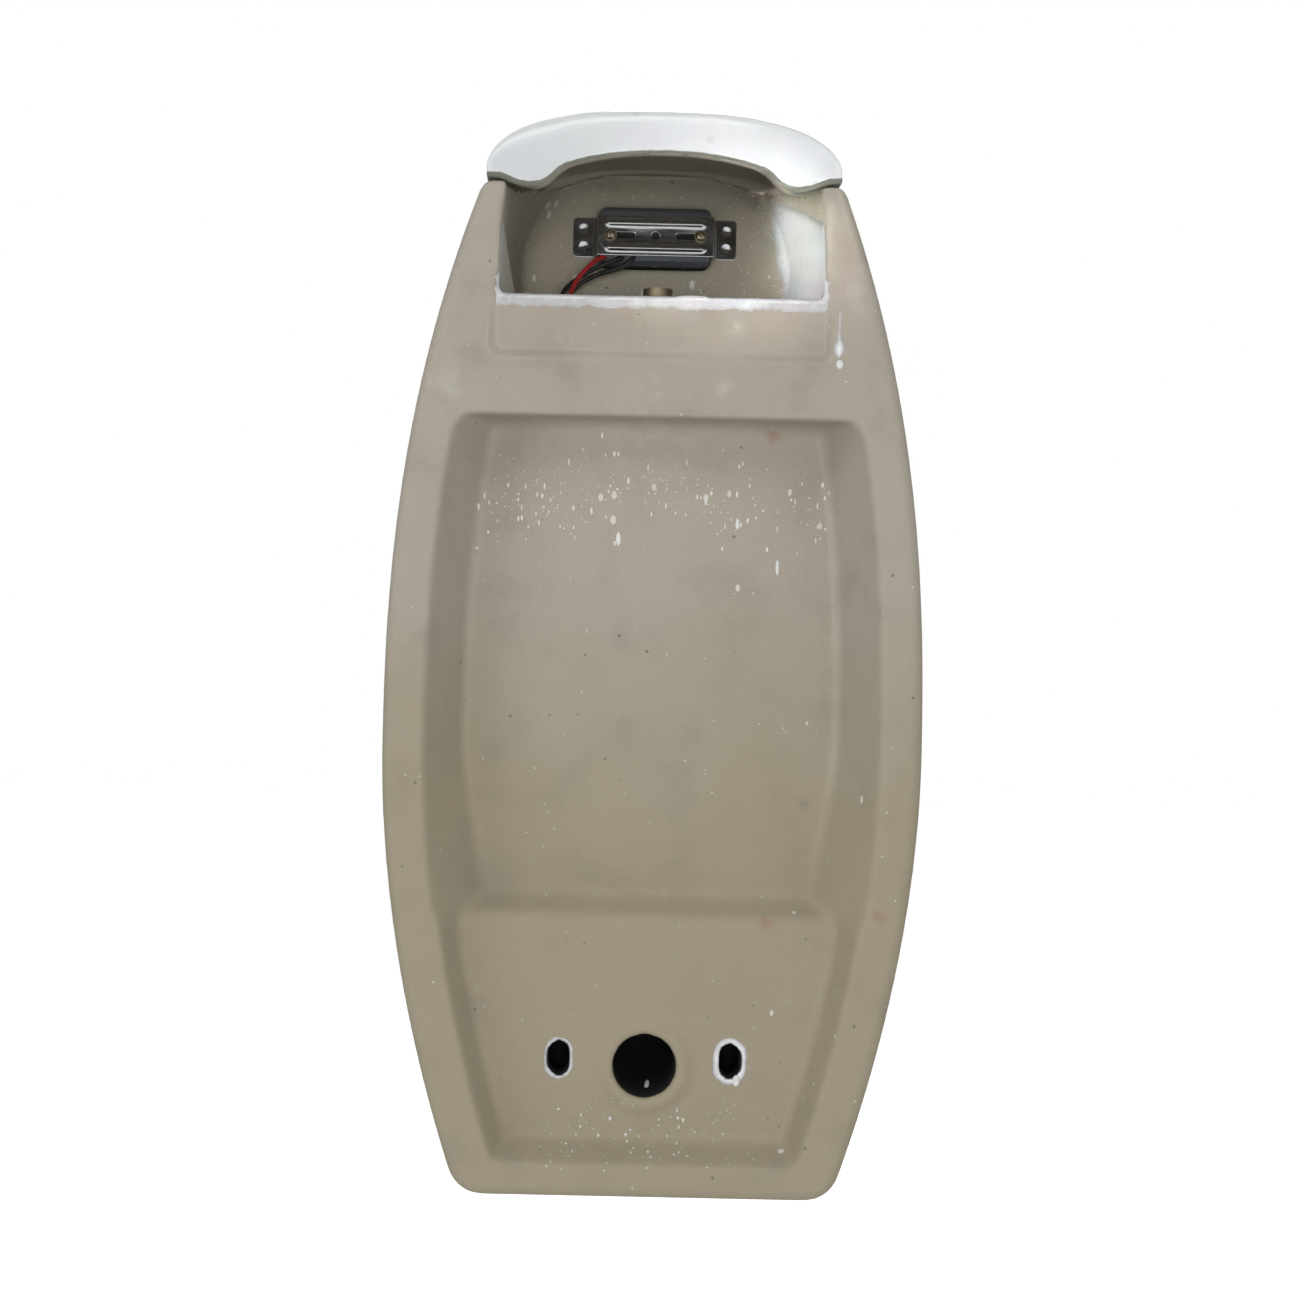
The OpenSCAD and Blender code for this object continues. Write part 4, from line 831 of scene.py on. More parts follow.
for drop_x, drop_z, across_r, along_r in drop_sizes:
    hit, spot, facing, _ = body.ray_cast(Vector((drop_x, 60, drop_z)) * mm, Vector((0, -1, 0)))
    if not hit or spot.y < -60 * mm:
        continue
    turn = Vector((0, 1, 0)).rotation_difference(facing).to_matrix().to_4x4()
    high = min(across_r, along_r) * bead_height
    sized = Matrix.Diagonal((across_r * mm, high * mm, along_r * mm, 1))
    bmesh.ops.create_icosphere(bm, subdivisions=2, radius=1, matrix=Matrix.Translation(spot) @ turn @ sized)
drops = piece_of("glaze_drops", bm)
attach(drops, "urinal")

# Soft unevenness of a glazed or moulded face, and the colour that goes with it
uneven, inner, outer = effect("uneven", {"Light": (1, 1, 1, 1), "Dark": (0, 0, 0, 1), "Gloss": 0.1,
                                         "Dull": 0.3, "Patches": 20.0, "Grain": 600.0, "Stretch": (1, 1, 1)},
                              {"Colour": "Color", "Roughness": "Float", "Height": "Float"})
tree = uneven
patches = ramped(tree, noise(tree, inner["Patches"], 4), 0.3, 0.7)
grain = noise(tree, inner["Grain"], 3, stretched(tree, inner["Stretch"]))
both = plus(tree, times(tree, patches, 0.6), times(tree, grain, 0.4))
span = times(tree, both, less(tree, inner["Dull"], inner["Gloss"]))
fill(tree, outer["Colour"], blended(tree, both, inner["Light"], inner["Dark"]))
fill(tree, outer["Roughness"], plus(tree, inner["Gloss"], span))
fill(tree, outer["Height"], grain)

# Fine rubbing marks: thin lines that handling and wiping leave
rubbed, inner, outer = effect("rubbed", {"Along": (1, 1, 14), "Spread": 240.0}, {"Mask": "Float"})
tree = rubbed
lines = ramped(tree, noise(tree, inner["Spread"], 2, stretched(tree, inner["Along"])), 0.64, 0.72)
fill(tree, outer["Mask"], times(tree, lines, ramped(tree, noise(tree, 22, 2), 0.45, 0.65)))


def even_finish(name, light, dark, gloss, dull, patches, grain=600.0, stretch=(1, 1, 1), relief=0.05,
                worn=None, along=(1, 1, 14), **constants):
    """Material that varies a little over the piece, with rubbing marks in a worn colour."""
    material, tree, shader = finish(name, light, **constants)
    varied = use(tree, uneven, Light=light, Dark=dark, Gloss=gloss, Dull=dull, Patches=patches, Grain=grain,
                 Stretch=stretch)
    marks = use(tree, rubbed, Along=along)["Mask"]
    feed(tree, shader, varied["Height"], relief,
         Base_Color=blended(tree, times(tree, marks, 0.5), varied["Colour"], worn or light),
         Roughness=plus(tree, varied["Roughness"], times(tree, marks, 0.12)))
    return material


dress(drops, even_finish("white_glaze_drops", (0.74, 0.74, 0.73), (0.62, 0.61, 0.59), 0.06, 0.16, 120.0))


# Spreader: the chromed brass dome that fans the water over the bowl's back, on a tail that goes up
# through the china. A rubber gasket lies under its flange, and a rubber washer and a brass nut
# hold it from inside the compartment.
def eased(name, node, width, material, body_name="urinal"):
    """A copy of a CAD node's mesh with its edges eased, which stands for the node."""
    bm = bmesh.new()
    bm.from_mesh(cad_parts[node].data)
    bmesh.ops.remove_doubles(bm, verts=bm.verts, dist=2e-6)
    bmesh.ops.dissolve_limit(bm, angle_limit=radians(1), verts=bm.verts, edges=bm.edges)
    piece = piece_of(name, bm)
    modified(piece, "BEVEL", width=width * mm, segments=2, limit_method="ANGLE", angle_limit=radians(32))
    dress(piece, material, 40)
    stands_for(piece, node, body_name)


def dress_nodes(material, *names):
    """Gives CAD nodes that keep their own mesh a material."""
    for name in names:
        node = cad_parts[name]
        node.data.materials.clear()
        node.data.materials.append(material)


chrome = even_finish("polished_chrome", (0.66, 0.67, 0.68), (0.58, 0.59, 0.60), 0.04, 0.14, 35.0,
                     relief=0.01, worn=(0.50, 0.50, 0.50), Metallic=1.0)
turned_brass = even_finish("turned_brass", (0.58, 0.44, 0.20), (0.40, 0.29, 0.13), 0.22, 0.45, 60.0, 420.0,
                           stretch=(1, 1, 6), relief=0.06, worn=(0.70, 0.56, 0.30), Metallic=1.0)
rubber = even_finish("black_rubber", (0.022, 0.022, 0.023), (0.036, 0.035, 0.034), 0.55, 0.80, 90.0, 1400.0,
                     relief=0.08, worn=(0.07, 0.07, 0.07))
eased("spreader_dome", "spreader", 0.5, chrome)
eased("spreader_hex_nut", "spreader_nut", 0.5, turned_brass)
dress_nodes(rubber, "spreader_gasket", "spreader_washer")

# Flush valve: a cast brass body on the spreader's tail, with a union nut and gasket below, the
# hose's thread above, a filter in that and a quarter-turn stop on the right. Its rubber diaphragm
# lies under a moulded bonnet with four screws.
cast_brass = even_finish("cast_brass", (0.31, 0.26, 0.175), (0.21, 0.175, 0.12), 0.38, 0.60, 45.0, 520.0,
                         relief=0.16, worn=(0.68, 0.54, 0.30), Metallic=1.0)
moulded_black = even_finish("moulded_black_plastic", (0.013, 0.013, 0.015), (0.024, 0.024, 0.026), 0.32, 0.52,
                            40.0, 1500.0, relief=0.06, worn=(0.05, 0.05, 0.052))
turned_steel = even_finish("turned_steel", (0.58, 0.58, 0.58), (0.46, 0.46, 0.46), 0.16, 0.34, 80.0, 500.0,
                           stretch=(8, 1, 1), relief=0.03, worn=(0.70, 0.70, 0.70), Metallic=1.0)
eased("valve_casting", "valve_body", 0.5, cast_brass)
eased("valve_union_nut", "union_nut", 0.6, turned_brass)
eased("quarter_turn_stop", "flow_screw", 0.35, turned_brass, "stop_screw")
eased("valve_bonnet_moulding", "valve_bonnet", 0.6, moulded_black)
eased("bonnet_screw_heads", "bonnet_screws", 0.25, turned_steel)
dress_nodes(rubber, "union_gasket", "diaphragm")
filter_mesh, tree, shader = finish("filter_mesh", (0.50, 0.50, 0.49), Metallic=1.0)
wires = {"Vector": own_place(tree), "Scale": 380.0, "Distortion": 0.0}
woven = worked(tree, "MAXIMUM", *[put(tree, "TexWave", wires, bands_direction=way).outputs["Fac"]
                                  for way in ("X", "Y")])
feed(tree, shader, woven, 0.25, Base_Color=blended(tree, woven, (0.05, 0.05, 0.05), (0.60, 0.60, 0.59)),
     Roughness=ramped(tree, woven, 0, 1, 0.6, 0.25))
dress_nodes(filter_mesh, "inlet_filter")

# Solenoid: a steel core tube screwed in the bonnet, the plunger and its spring in it, and the coil
# over it, potted in black resin and held by a nut.
dress_nodes(turned_steel, "core_tube", "plunger", "plunger_spring")
eased("potted_coil", "solenoid_coil", 0.8, moulded_black)
eased("coil_hex_nut", "coil_nut", 0.3, turned_steel)

# Sensor: a moulded housing put in through the hole in the china, with a black band of painted shade
# behind the strap's slots. In front it has a chromed bezel on a rubber gasket, a dark window that
# passes infrared, and a small circuit board with its lamps.
sensor_w = 80
sensor_h = 42
sensor_rear_d = 146
painted_slot_shade_half_h = 3.6
spark_plastic = even_finish("spark_eroded_plastic", (0.058, 0.064, 0.074), (0.080, 0.088, 0.100), 0.32, 0.54,
                            30.0, 1700.0, relief=0.10, worn=(0.10, 0.11, 0.125))
tree = spark_plastic.node_tree
shader = tree.nodes["Principled BSDF"]
# A black band round the housing behind the strap's slots: painted shade for the dark in the slots.
upright = put(tree, "SeparateXYZ", {"Vector": own_place(tree)}).outputs["Z"]
from_painted_slot_shade = worked(tree, "ABSOLUTE", less(tree, upright, sensor_z * mm))
painted_slot_shade = ramped(tree, from_painted_slot_shade, painted_slot_shade_half_h * mm, (painted_slot_shade_half_h - 0.5) * mm)
plain_colour = shader.inputs["Base Color"].links[0].from_socket
feed(tree, shader, Base_Color=blended(tree, painted_slot_shade, plain_colour, (0.004, 0.004, 0.004)))
eased("sensor_case", "sensor_housing", 0.7, spark_plastic)
eased("chromed_bezel", "sensor_bezel", 0.9, chrome)
window_plastic = even_finish("infrared_window_plastic", (0.012, 0.009, 0.012), (0.020, 0.012, 0.014),
                             0.03, 0.10, 15.0, relief=0.005, worn=(0.05, 0.05, 0.05))
eased("infrared_window", "sensor_window", 0.6, window_plastic)
board, tree, shader = finish("circuit_board", (0.02, 0.12, 0.06))
tracks = put(tree, "TexBrick", {"Vector": own_place(tree), "Scale": 260.0, "Mortar Size": 0.04,
                                "Color1": (0.02, 0.12, 0.06), "Color2": (0.02, 0.15, 0.07),
                                "Mortar": (0.05, 0.22, 0.11)}).outputs
feed(tree, shader, tracks["Fac"], 0.04, Base_Color=tracks["Color"],
     Roughness=ramped(tree, noise(tree, 90), 0.3, 0.7, 0.18, 0.36))
dress_nodes(board, "sensor_board")
dress_nodes(rubber, "sensor_gasket")
for lamp_name, light, dark in (("infrared_emitter", (0.60, 0.62, 0.70), (0.50, 0.52, 0.60)),
                               ("infrared_receiver", (0.02, 0.02, 0.03), (0.035, 0.03, 0.045)),
                               ("status_lamp", (0.45, 0.02, 0.02), (0.32, 0.01, 0.01))):
    dress_nodes(even_finish(lamp_name + "_epoxy", light, dark, 0.05, 0.15, 200.0, relief=0.01), lamp_name)

# Mounting bracket: a strap of bright zinc-plated steel, pressed to a hat with two ridges along its
# crown and two dimples on each foot. It clamps the housing to the china, with a screw in each slot.
bracket_l = 120
bracket_w = 29
bracket_t = 1.5
crown_d = sensor_rear_d - bracket_t
foot_d = hatch_d - bracket_t
foot_l = 16
screw_pitch = 66
screw_slot_l = 16
screw_slot_w = 4.8
ridge_r = 1.9
ridge_rise = 1.1
ridge_up = 0.31 * bracket_w
ridge_end_x = 37
dish_h = 0.35
dimple_x = 52.5
dimple_up = 6.5
dimple_h = 0.9
tip_cut = 3
joggle_start = bracket_l / 2 - foot_l - 1.5
half_strap = np.concatenate([np.linspace(0, joggle_start - 1, 30), joggle_start + np.linspace(-0.5, 3, 10),
                             np.linspace(joggle_start + 4, bracket_l / 2, 14)])
strap_xs = np.concatenate([-half_strap[:0:-1], half_strap])
strap_rows = 44


def strap_place(i, j):
    """Outer face of the strap at column i and row j of its grid."""
    x = float(strap_xs[i])
    across = bracket_w * (j / strap_rows - 0.5)
    depth = crown_d + (foot_d - crown_d) * float(soft_step((abs(x) - joggle_start) / 2.5))
    ends = float(soft_step((ridge_end_x - abs(x)) / 3))
    ridges = sum(np.exp(-((across - s * ridge_up) / ridge_r) ** 2) for s in (-1, 1))
    dish = dish_h * np.exp(-(across / 5) ** 2) * (0.6 + 0.4 * sin(x / 7))
    dimples = sum(np.exp(-((abs(x) - dimple_x) ** 2 + (across - s * dimple_up) ** 2) / 4.5) for s in (-1, 1))
    return (x, -depth + ends * (ridge_rise * ridges - dish) - dimple_h * dimples, sensor_z + across)


bm = grid_of(len(strap_xs) - 1, strap_rows, strap_place)
bm.normal_update()
bm.faces.ensure_lookup_table()
if bm.faces[0].normal.y < 0:
    bmesh.ops.reverse_faces(bm, faces=bm.faces)
strap = piece_of("bracket_strap", bm)
modified(strap, "SOLIDIFY", thickness=bracket_t * mm, offset=-1)
for side in (-1, 1):
    screw_slot = rounded(screw_slot_l + screw_slot_w, screw_slot_w, screw_slot_w / 2 - 0.01,
                         side * (screw_pitch - screw_slot_l) / 2, sensor_z)
    cut(strap, prism("screw_slot", screw_slot, 140, 150))
    tip_x = side * bracket_l / 2
    for up in (-1, 1):
        tip_z = sensor_z + up * bracket_w / 2
        tip = [(tip_x - side * tip_cut, tip_z + up), (tip_x + side, tip_z + up),
               (tip_x + side, tip_z - up * tip_cut)]
        cut(strap, prism("tip", tip, 140, 170))
cut(strap, prism("middle_hole", rounded(6, 6, 2.99, 0, sensor_z), 140, 150))
modified(strap, "BEVEL", width=0.35 * mm, segments=2, limit_method="ANGLE", angle_limit=radians(50))
dress(strap, even_finish("bright_zinc_strap", (0.62, 0.63, 0.64), (0.50, 0.51, 0.52), 0.07, 0.22, 45.0, 300.0,
                         stretch=(0.3, 1, 1), relief=0.06, worn=(0.42, 0.42, 0.42), along=(1, 14, 14),
                         Metallic=1.0), 50)
stands_for(strap, "mounting_bracket")

# Bracket screws: pan-head machine screws with a cross recess, each on a plain washer, in yellow
# passivated zinc.
washer_t = 0.8
washer_r = 4.8
hole_r = 2.35
head_r = 3.7
head_h = 2.6
head_d = crown_d - washer_t
cross_l = 4.2
cross_w = 0.84
head_profile = [(0, head_h), (1.6, head_h - 0.05), (2.7, head_h - 0.35), (3.3, head_h - 0.95),
                (head_r, head_h - 1.7), (head_r, 0.3), (head_r - 0.3, 0), (1.75, 0), (1.75, -6.8),
                (1.2, -7.4), (0, -7.4)]
washer_profile = [(hole_r, 0), (washer_r - 0.2, 0), (washer_r, 0.2), (washer_r, washer_t - 0.2),
                  (washer_r - 0.2, washer_t), (hole_r, washer_t)]


def turned(name, profile, middle_x, middle_z, base_d, closed=False, sides=40):
    """Turned piece about an axis along y, from a profile of (radius, height above its base)."""
    bm = bmesh.new()
    points = [bm.verts.new(((middle_x + r) * mm, (-base_d + h) * mm, middle_z * mm)) for r, h in profile]
    pairs = list(zip(points, points[1:])) + ([(points[-1], points[0])] if closed else [])
    edges = [bm.edges.new(pair) for pair in pairs]
    bmesh.ops.spin(bm, geom=points + edges, cent=Vector((middle_x, -base_d, middle_z)) * mm, axis=(0, 1, 0),
                   angle=2 * pi, steps=sides, use_merge=True)
    bmesh.ops.remove_doubles(bm, verts=bm.verts, dist=1e-6)
    turned_out(bm)
    return piece_of(name, bm)


def joined(name, pieces):
    """Several pieces as one."""
    bm = bmesh.new()
    for piece in pieces:
        bm.from_mesh(piece.data)
        bpy.data.objects.remove(piece)
    return piece_of(name, bm)


heads = []
washers = []
for screw_x in (-screw_pitch / 2, screw_pitch / 2):
    head = turned("screw", head_profile, screw_x, sensor_z, head_d)
    for w, h in ((cross_l, cross_w), (cross_w, cross_l)):
        cross = rounded(w, h, 0.3, screw_x, sensor_z, 3)
        cut(head, prism("cross", cross, head_d - head_h - 1, head_d - head_h + 1.5))
    heads.append(head)
    washers.append(turned("washer", washer_profile, screw_x, sensor_z, crown_d, closed=True))
yellow_zinc = even_finish("yellow_passivated_zinc", (0.64, 0.56, 0.42), (0.48, 0.41, 0.29), 0.16, 0.34,
                          260.0, 900.0, relief=0.03, worn=(0.72, 0.66, 0.54), Metallic=1.0)
for name, pieces, node in (("pan_head_screws", heads, "bracket_screws"),
                           ("plain_washers", washers, "bracket_washers")):
    piece = joined(name, pieces)
    dress(piece, yellow_zinc, 40)
    stands_for(piece, node)

# Battery box: a moulded box on the compartment's floor with four cells in plain jackets, sprung
# contacts at their ends and a lid that slides towards the back.
eased("battery_case", "battery_box", 0.7, moulded_black)
eased("battery_case_lid", "battery_lid", 0.5, spark_plastic, "box_lid")
cell_jacket = even_finish("cell_jacket", (0.40, 0.29, 0.06), (0.30, 0.21, 0.04), 0.14, 0.30, 70.0,
                          relief=0.02, worn=(0.55, 0.48, 0.30))
dress_nodes(cell_jacket, "battery_cells")
dress_nodes(turned_steel, "battery_contacts")

# Leads: stranded copper in round plastic sleeving. One red and one black lead run from the
# sensor's housing to the battery box and a black one to the valve's coil.
lead_r = 1.75
exit_z = sensor_z - sensor_h / 2 + 4.5
red_points = [(0, 0, 0), (0, 2, 0), (1.5, 5, -0.5), (6, 9, -3.5), (12, 13, -9.5), (17.5, 17, -16.5),
              (22, 21, -24.5), (25, 25, -33.5), (26, 28, -43.5), (26, 29, -55.5), (26, 29, -67.5),
              (26, 29, -78.5), (25.5, 31, -88), (25, 35.5, -95), (25, 40, -97.5), (25, 43, -97.5)]
black_points = [(0, 0, 0), (0, 2, 0), (2, 5, -1), (7, 6.5, -3.5), (14, 7, -6.5), (22, 8, -10.5),
                (29, 10, -15), (36, 14, -21), (42, 19, -28.5), (45, 23, -37.5), (46, 25, -48.5),
                (46, 26, -59.5), (46, 27, -71.5), (46, 29, -82), (46, 34, -90.5), (46, 39, -93.5),
                (46, 43, -93.5)]
coil_points = [(0, 0, 0), (0, 2, 0), (2, 3.5, -2.5), (6, 3.5, -6), (13, 3, -9), (22, 2.5, -11.5),
               (31, 3, -15.5), (39, 5, -21), (45, 8, -28.5), (47, 10, -37.5), (45, 11, -46.5),
               (41, 12, -54.5), (34, 13, -61.5), (25, 14, -66.5), (15, 15, -69.5), (4, 16, -71.5),
               (-7, 16, -72.5), (-18, 17, -72.5), (-29, 18, -71.5), (-40, 20, -70), (-50, 24, -68),
               (-57, 30.5, -66.5), (-61, 39, -65.5), (-62, 47, -65.5), (-62, 51, -65.5)]


def routed(start, points, end):
    """Route through the points given from its start, with what it misses its end by shared out."""
    last = len(points) - 1
    start, end = np.array(start, float), np.array(end, float)
    miss = end - start - np.array(points[last])
    return [start + np.array(p) + miss * float(soft_step((i - 1) / (last - 2))) for i, p in enumerate(points)]


def smoothed(path, between=5):
    """A path with more points between those given, on a smooth curve."""
    path = [2 * path[0] - path[1]] + list(path) + [2 * path[-1] - path[-2]]
    dense = []
    for a, b, c, d in zip(path, path[1:], path[2:], path[3:]):
        for t in np.arange(between) / between:
            bend = (2 * a - 5 * b + 4 * c - d) * t ** 2 + (3 * b - a - 3 * c + d) * t ** 3
            dense.append(0.5 * (2 * b + (c - a) * t + bend))
    return dense + [path[-2]]


def sleeving(name, light, dark):
    """Glossy plastic sleeving, dusty in places."""
    dusty = tuple(0.03 + 0.9 * c for c in light)
    return even_finish(name, light, dark, 0.18, 0.42, 110.0, 700.0, relief=0.04, worn=dusty)


sleeves = {"red_sleeving": sleeving("red_sleeving", (0.42, 0.030, 0.028), (0.30, 0.020, 0.020)),
           "black_sleeving": sleeving("black_sleeving", (0.014, 0.014, 0.015), (0.028, 0.028, 0.028))}
for node, share, points, end, sleeve in (("red_lead", 0.4625, red_points, (62, -103, 16), "red_sleeving"),
                                         ("black_lead", 0.3, black_points, (70, -103, 20), "black_sleeving"),
                                         ("coil_lead", 0.2, coil_points, (-46, -95, 48), "black_sleeving")):
    route = smoothed(routed((sensor_w * share, -sensor_rear_d, exit_z), points, end))
    tube = swept(node + "_tube", route, lead_r, 20)
    dress(tube, sleeves[sleeve], 60)
    stands_for(tube, node)

# Strainer: a chromed disc with holes that lies loose over the drain in the bowl's floor.
eased("drain_plate", "strainer", 0.3, chrome, "drain_strainer")

# Top cover: slip-cast vitreous china like the body, glazed white but for its underside and the
# foot that it stood on in the kiln. It rests on four rubber pads and is lifted off by hand.
cover_rise = 51
cover_side_h = 7
cover_mid_d = 60
cover_inset = 2
cover_t = 10
pad_t = 1.5
seat_gap = 0.3
front_sag = 0.7
cover_gap = pad_t + seat_gap
cover_edge_z = shoulder_z + 19
back_foot_d = 14
edge_xs = [0, 20, 36, 50, 60, 67, 72, 76, 79, 84, 90, 97, 104, 110]
edge_drops = [0, 0.5, 2.3, 4.8, 7.5, 10.2, 14, 18.5, 21.2, 23.4, 24, 23, 20.6, 18]
back_xs = np.concatenate([np.linspace(0, 60, 16), np.linspace(62, 110, 33)])
back_xs = np.concatenate([-back_xs[:0:-1], back_xs])
smooth_drops = np.interp(np.abs(back_xs), edge_xs, edge_drops)
smooth_drops = np.convolve(np.pad(smooth_drops, 2, mode="edge"), [0.1, 0.2, 0.4, 0.2, 0.1], mode="valid")


def rim_place(t, inset):
    """Place on the body's rim at plan angle t, drawn in by inset."""
    z = shoulder_z
    for step in range(6):
        n = float(plan_power(z))
        at_x = (float(half_width(z)) - inset) * np.sign(cos(t)) * abs(cos(t)) ** (2 / n)
        at_y = -(float(front_depth(z)) - inset) * abs(sin(t)) ** (2 / n)
        z = float(rim_z(at_x))
    return at_x, at_y, z


def cover_outline(inset, back_d):
    """Lower edge of the cover, drawn in by inset, with its back at depth back_d."""
    wide = float(half_width(shoulder_z)) - inset
    front = []
    for t in np.linspace(0, pi, 73):
        at_x, at_y, at_z = rim_place(t, inset)
        on_pads = float(soft_step((at_y + 70) / 20))
        front.append((at_x, min(at_y, -back_d), at_z + cover_gap * on_pads - front_sag * (1 - on_pads)))
    back = [(at_x * min(1, (wide - 1) / (max(edge_xs) + 1)), -back_d, cover_edge_z - drop)
            for at_x, drop in zip(back_xs, smooth_drops)]
    return front + back


def cover_top_z(at_x, at_y):
    side = min(abs(at_x) / (float(half_width(shoulder_z)) + 0.5), 1)
    return (shoulder_z + cover_side_h + (cover_rise - cover_side_h) * (1 - side ** 3) ** 0.5
            - 2 * float(soft_step((-at_y - cover_mid_d) / 100)))


def cover_ring(outline, s, drop, floor_gap):
    """Ring of the cover's skin: the outline drawn to the middle by share s and raised."""
    ring = []
    for at_x, at_y, at_z in outline:
        px, py = at_x * s, (at_y + cover_mid_d) * s - cover_mid_d
        top = max(cover_top_z(px, py) - drop, float(rim_z(px)) + cover_gap + floor_gap)
        ring.append((px, py, at_z + max(top - at_z, 0) * (1 - s ** 8) ** (1 / 8)))
    return ring


cover_outside = cover_outline(cover_inset, 0.3)
cover_inside = cover_outline(cover_inset + cover_t, cover_t)
inner_shares = (0.1, 0.3, 0.5, 0.65, 0.8, 0.9, 0.95, 0.98, 0.995)
outer_shares = (0.9995, 0.998, 0.994, 0.985, 0.97, 0.95, 0.92, 0.88, 0.8, 0.7, 0.6, 0.5, 0.4, 0.3, 0.2, 0.1)
cover_rings = [cover_ring(cover_inside, s, cover_t, 0.5) for s in inner_shares]
cover_rings += [cover_inside, cover_outside]
cover_rings += [cover_ring(cover_outside, s, 0, 2) for s in outer_shares]
cover = skin_of("china_cover_shell", len(cover_outside), len(cover_rings) - 1,
                lambda i, j: cover_rings[j][i % len(cover_outside)])
modified(cover, "REMESH", mode="VOXEL", voxel_size=1.5 * mm, adaptivity=0)
modified(cover, "SMOOTH", factor=0.5, iterations=6)
x, y, z = coords(cover.data).T
at_back = y > -back_foot_d
edge_z = np.where(at_back, cover_edge_z - np.interp(np.abs(x), edge_xs, edge_drops), rim_z(x) + cover_gap)
bare_foot = np.where(at_back, 2.3 + 1.5 * soft_step((np.abs(x) - 60) / 20), 1.5)
facing = np.zeros(3 * len(x))
cover.data.vertices.foreach_get("normal", facing)
from_middle = np.array([x, y + cover_mid_d, z - shoulder_z]).T
underside = (facing.reshape(-1, 3) * from_middle).sum(1) < 0
paint(cover.data, "glaze", np.where(underside, bare, z - edge_z - bare_foot))
paint(cover.data, "underside", underside)
white_china, tree, shader = finish("white_china", glaze_thick, Coat_Roughness=0.03)
edge = use(tree, glaze_edge, Distance=named(tree, "glaze"), Raggedness=1.6)
foot = blended(tree, ramped(tree, noise(tree, 60, 4), 0.3, 0.7), (0.185, 0.187, 0.150), (0.140, 0.142, 0.112))
foot = blended(tree, named(tree, "underside"), foot, clay_pale)
cloudy = ramped(tree, noise(tree, 12, 3), 0.35, 0.65)
white = blended(tree, cloudy, (0.645, 0.665, 0.680), (0.675, 0.695, 0.705))
pinholes = use(tree, specks, Amount=0.06, Spacing=100.0)["Mask"]
white = blended(tree, times(tree, pinholes, 0.15), white, clay_dark)
height = plus(tree, times(tree, edge["Height"], 0.3), times(tree, noise(tree, 45, 2), 0.10))
feed(tree, shader, height, Base_Color=blended(tree, edge["Glazed"], foot, white),
     Roughness=ramped(tree, edge["Glazed"], 0, 1, 0.7, 0.09), Coat_Weight=times(tree, edge["Glazed"], 0.35))
dress(cover, white_china)
stands_for(cover, "top_cover", "cover")
dress_nodes(rubber, "cover_pads")

# Studio: a pale floor below the body, a white surround, five soft lamps, and the camera of the
# photograph, which stands behind the wall's place, a little to one side and below the middle.
floor_glow = 0.74
fill_level = 0.27


def sheet(name, place):
    """A flat square that is no part of the object, 2 m wide before place scales it."""
    bm = bmesh.new()
    bmesh.ops.create_grid(bm, x_segments=1, y_segments=1, size=1)
    bmesh.ops.transform(bm, verts=bm.verts, matrix=place)
    piece = piece_of(name, bm)
    return piece


def seen_directly(tree):
    """1 for the rays that show a thing, also in gloss and through glass, and 0 for its light."""
    rays = put(tree, "LightPath").outputs
    seen = worked(tree, "MAXIMUM", rays["Is Camera Ray"], rays["Is Glossy Ray"])
    return worked(tree, "MAXIMUM", seen, rays["Is Transmission Ray"])


floor = sheet("floor", Matrix.Translation((0, 0, -1.05)) @ Matrix.Scale(12, 4))
pale_floor, tree, shader = finish("pale_floor", (0.8, 0.8, 0.8), Roughness=0.9)
glow = put(tree, "Emission", {"Color": (1, 1, 1), "Strength": times(tree, seen_directly(tree), floor_glow)})
shown = put(tree, "AddShader", {0: shader.outputs[0], 1: glow.outputs[0]})
tree.links.new(shown.outputs[0], tree.nodes["Material Output"].inputs[0])
dress(floor, pale_floor)

world = bpy.data.worlds.new("surround")
world.use_nodes = True
tree = world.node_tree
level = put(tree, "MapRange", {"Value": seen_directly(tree), "To Min": fill_level, "To Max": 1.0}).outputs[0]
fill(tree, tree.nodes["Background"].inputs["Strength"], level)
fill(tree, tree.nodes["Background"].inputs["Color"], (1, 1, 1))
bpy.context.scene.world = world


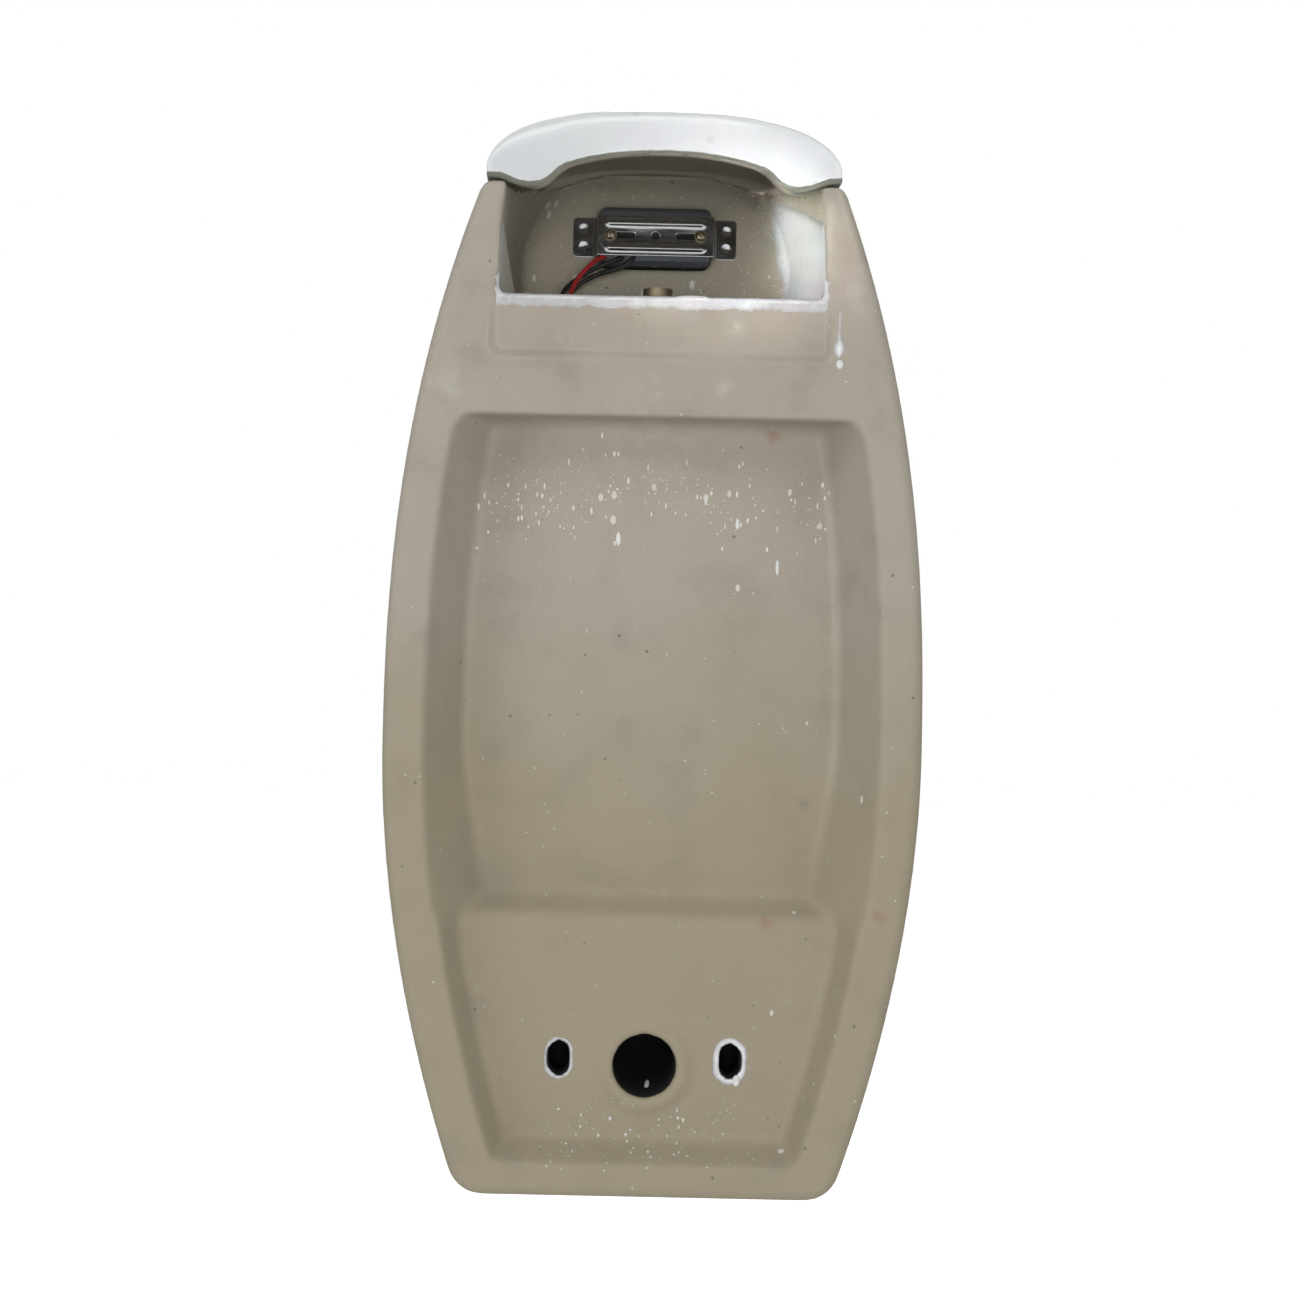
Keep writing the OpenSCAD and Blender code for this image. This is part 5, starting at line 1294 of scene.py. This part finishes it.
def soft_lamp(name, place, aim, size, power, glossy=True):
    """A broad lamp that looks at a place."""
    data = bpy.data.lights.new(name, "AREA")
    data.shape = "RECTANGLE"
    data.size, data.size_y = size
    data.energy = power
    lamp = bpy.data.objects.new(name, data)
    lamp.location = place
    lamp.rotation_euler = (Vector(aim) - Vector(place)).to_track_quat("-Z", "Y").to_euler()
    lamp.visible_glossy = glossy
    bpy.context.scene.collection.objects.link(lamp)
    return lamp


body_middle = (0, 0, -0.2)
soft_lamp("lamp_above", (0.3, 1.6, 1.9), body_middle, (1.8, 1.2), 14)
soft_lamp("lamp_left", (2.2, 1.2, 0.4), body_middle, (1.0, 1.6), 12)
soft_lamp("lamp_behind_camera", (-0.2, 2.3, 0.0), body_middle, (1.3, 1.0), 25, glossy=False)
narrow = soft_lamp("lamp_into_compartment", (1.1, 1.45, 0.05), (-0.095, -0.07, 0.11), (0.08, 0.08), 0.052,
                   glossy=False)
narrow.data.spread = radians(4)
soft_lamp("lamp_front", (-0.8, -2.2, 1.4), body_middle, (1.6, 1.6), 26)

# A dark card behind the camera, seen only in gloss, gives bright metal its dark bands
card = sheet("dark_card", Matrix.Translation((0, 3.2, 0.8)) @ Matrix.Rotation(pi / 2, 4, "X")
             @ Matrix.Diagonal((0.75, 0.6, 1, 1)))
dress(card, finish("dark_card", (0.030, 0.030, 0.032), Roughness=1.0)[0])
card.visible_camera = card.visible_diffuse = card.visible_transmission = card.visible_shadow = False

camera_data = bpy.data.cameras.new("camera")
camera_data.sensor_width = 36
camera_data.lens = 62.04
camera_data.shift_x = 0.0674
camera_data.clip_end = 30
camera_lean = radians(1.23)
camera = bpy.data.objects.new("camera", camera_data)
camera.location = (0.060, 1.500, -0.176)
camera.rotation_euler = (Matrix.Rotation(pi, 3, "Z") @ Matrix.Rotation(pi / 2, 3, "X")
                         @ Matrix.Rotation(camera_lean, 3, "Z")).to_euler()
bpy.context.scene.collection.objects.link(camera)
bpy.context.scene.camera = camera

bpy.context.scene.view_settings.view_transform = "Standard"
bpy.context.view_layer.update()
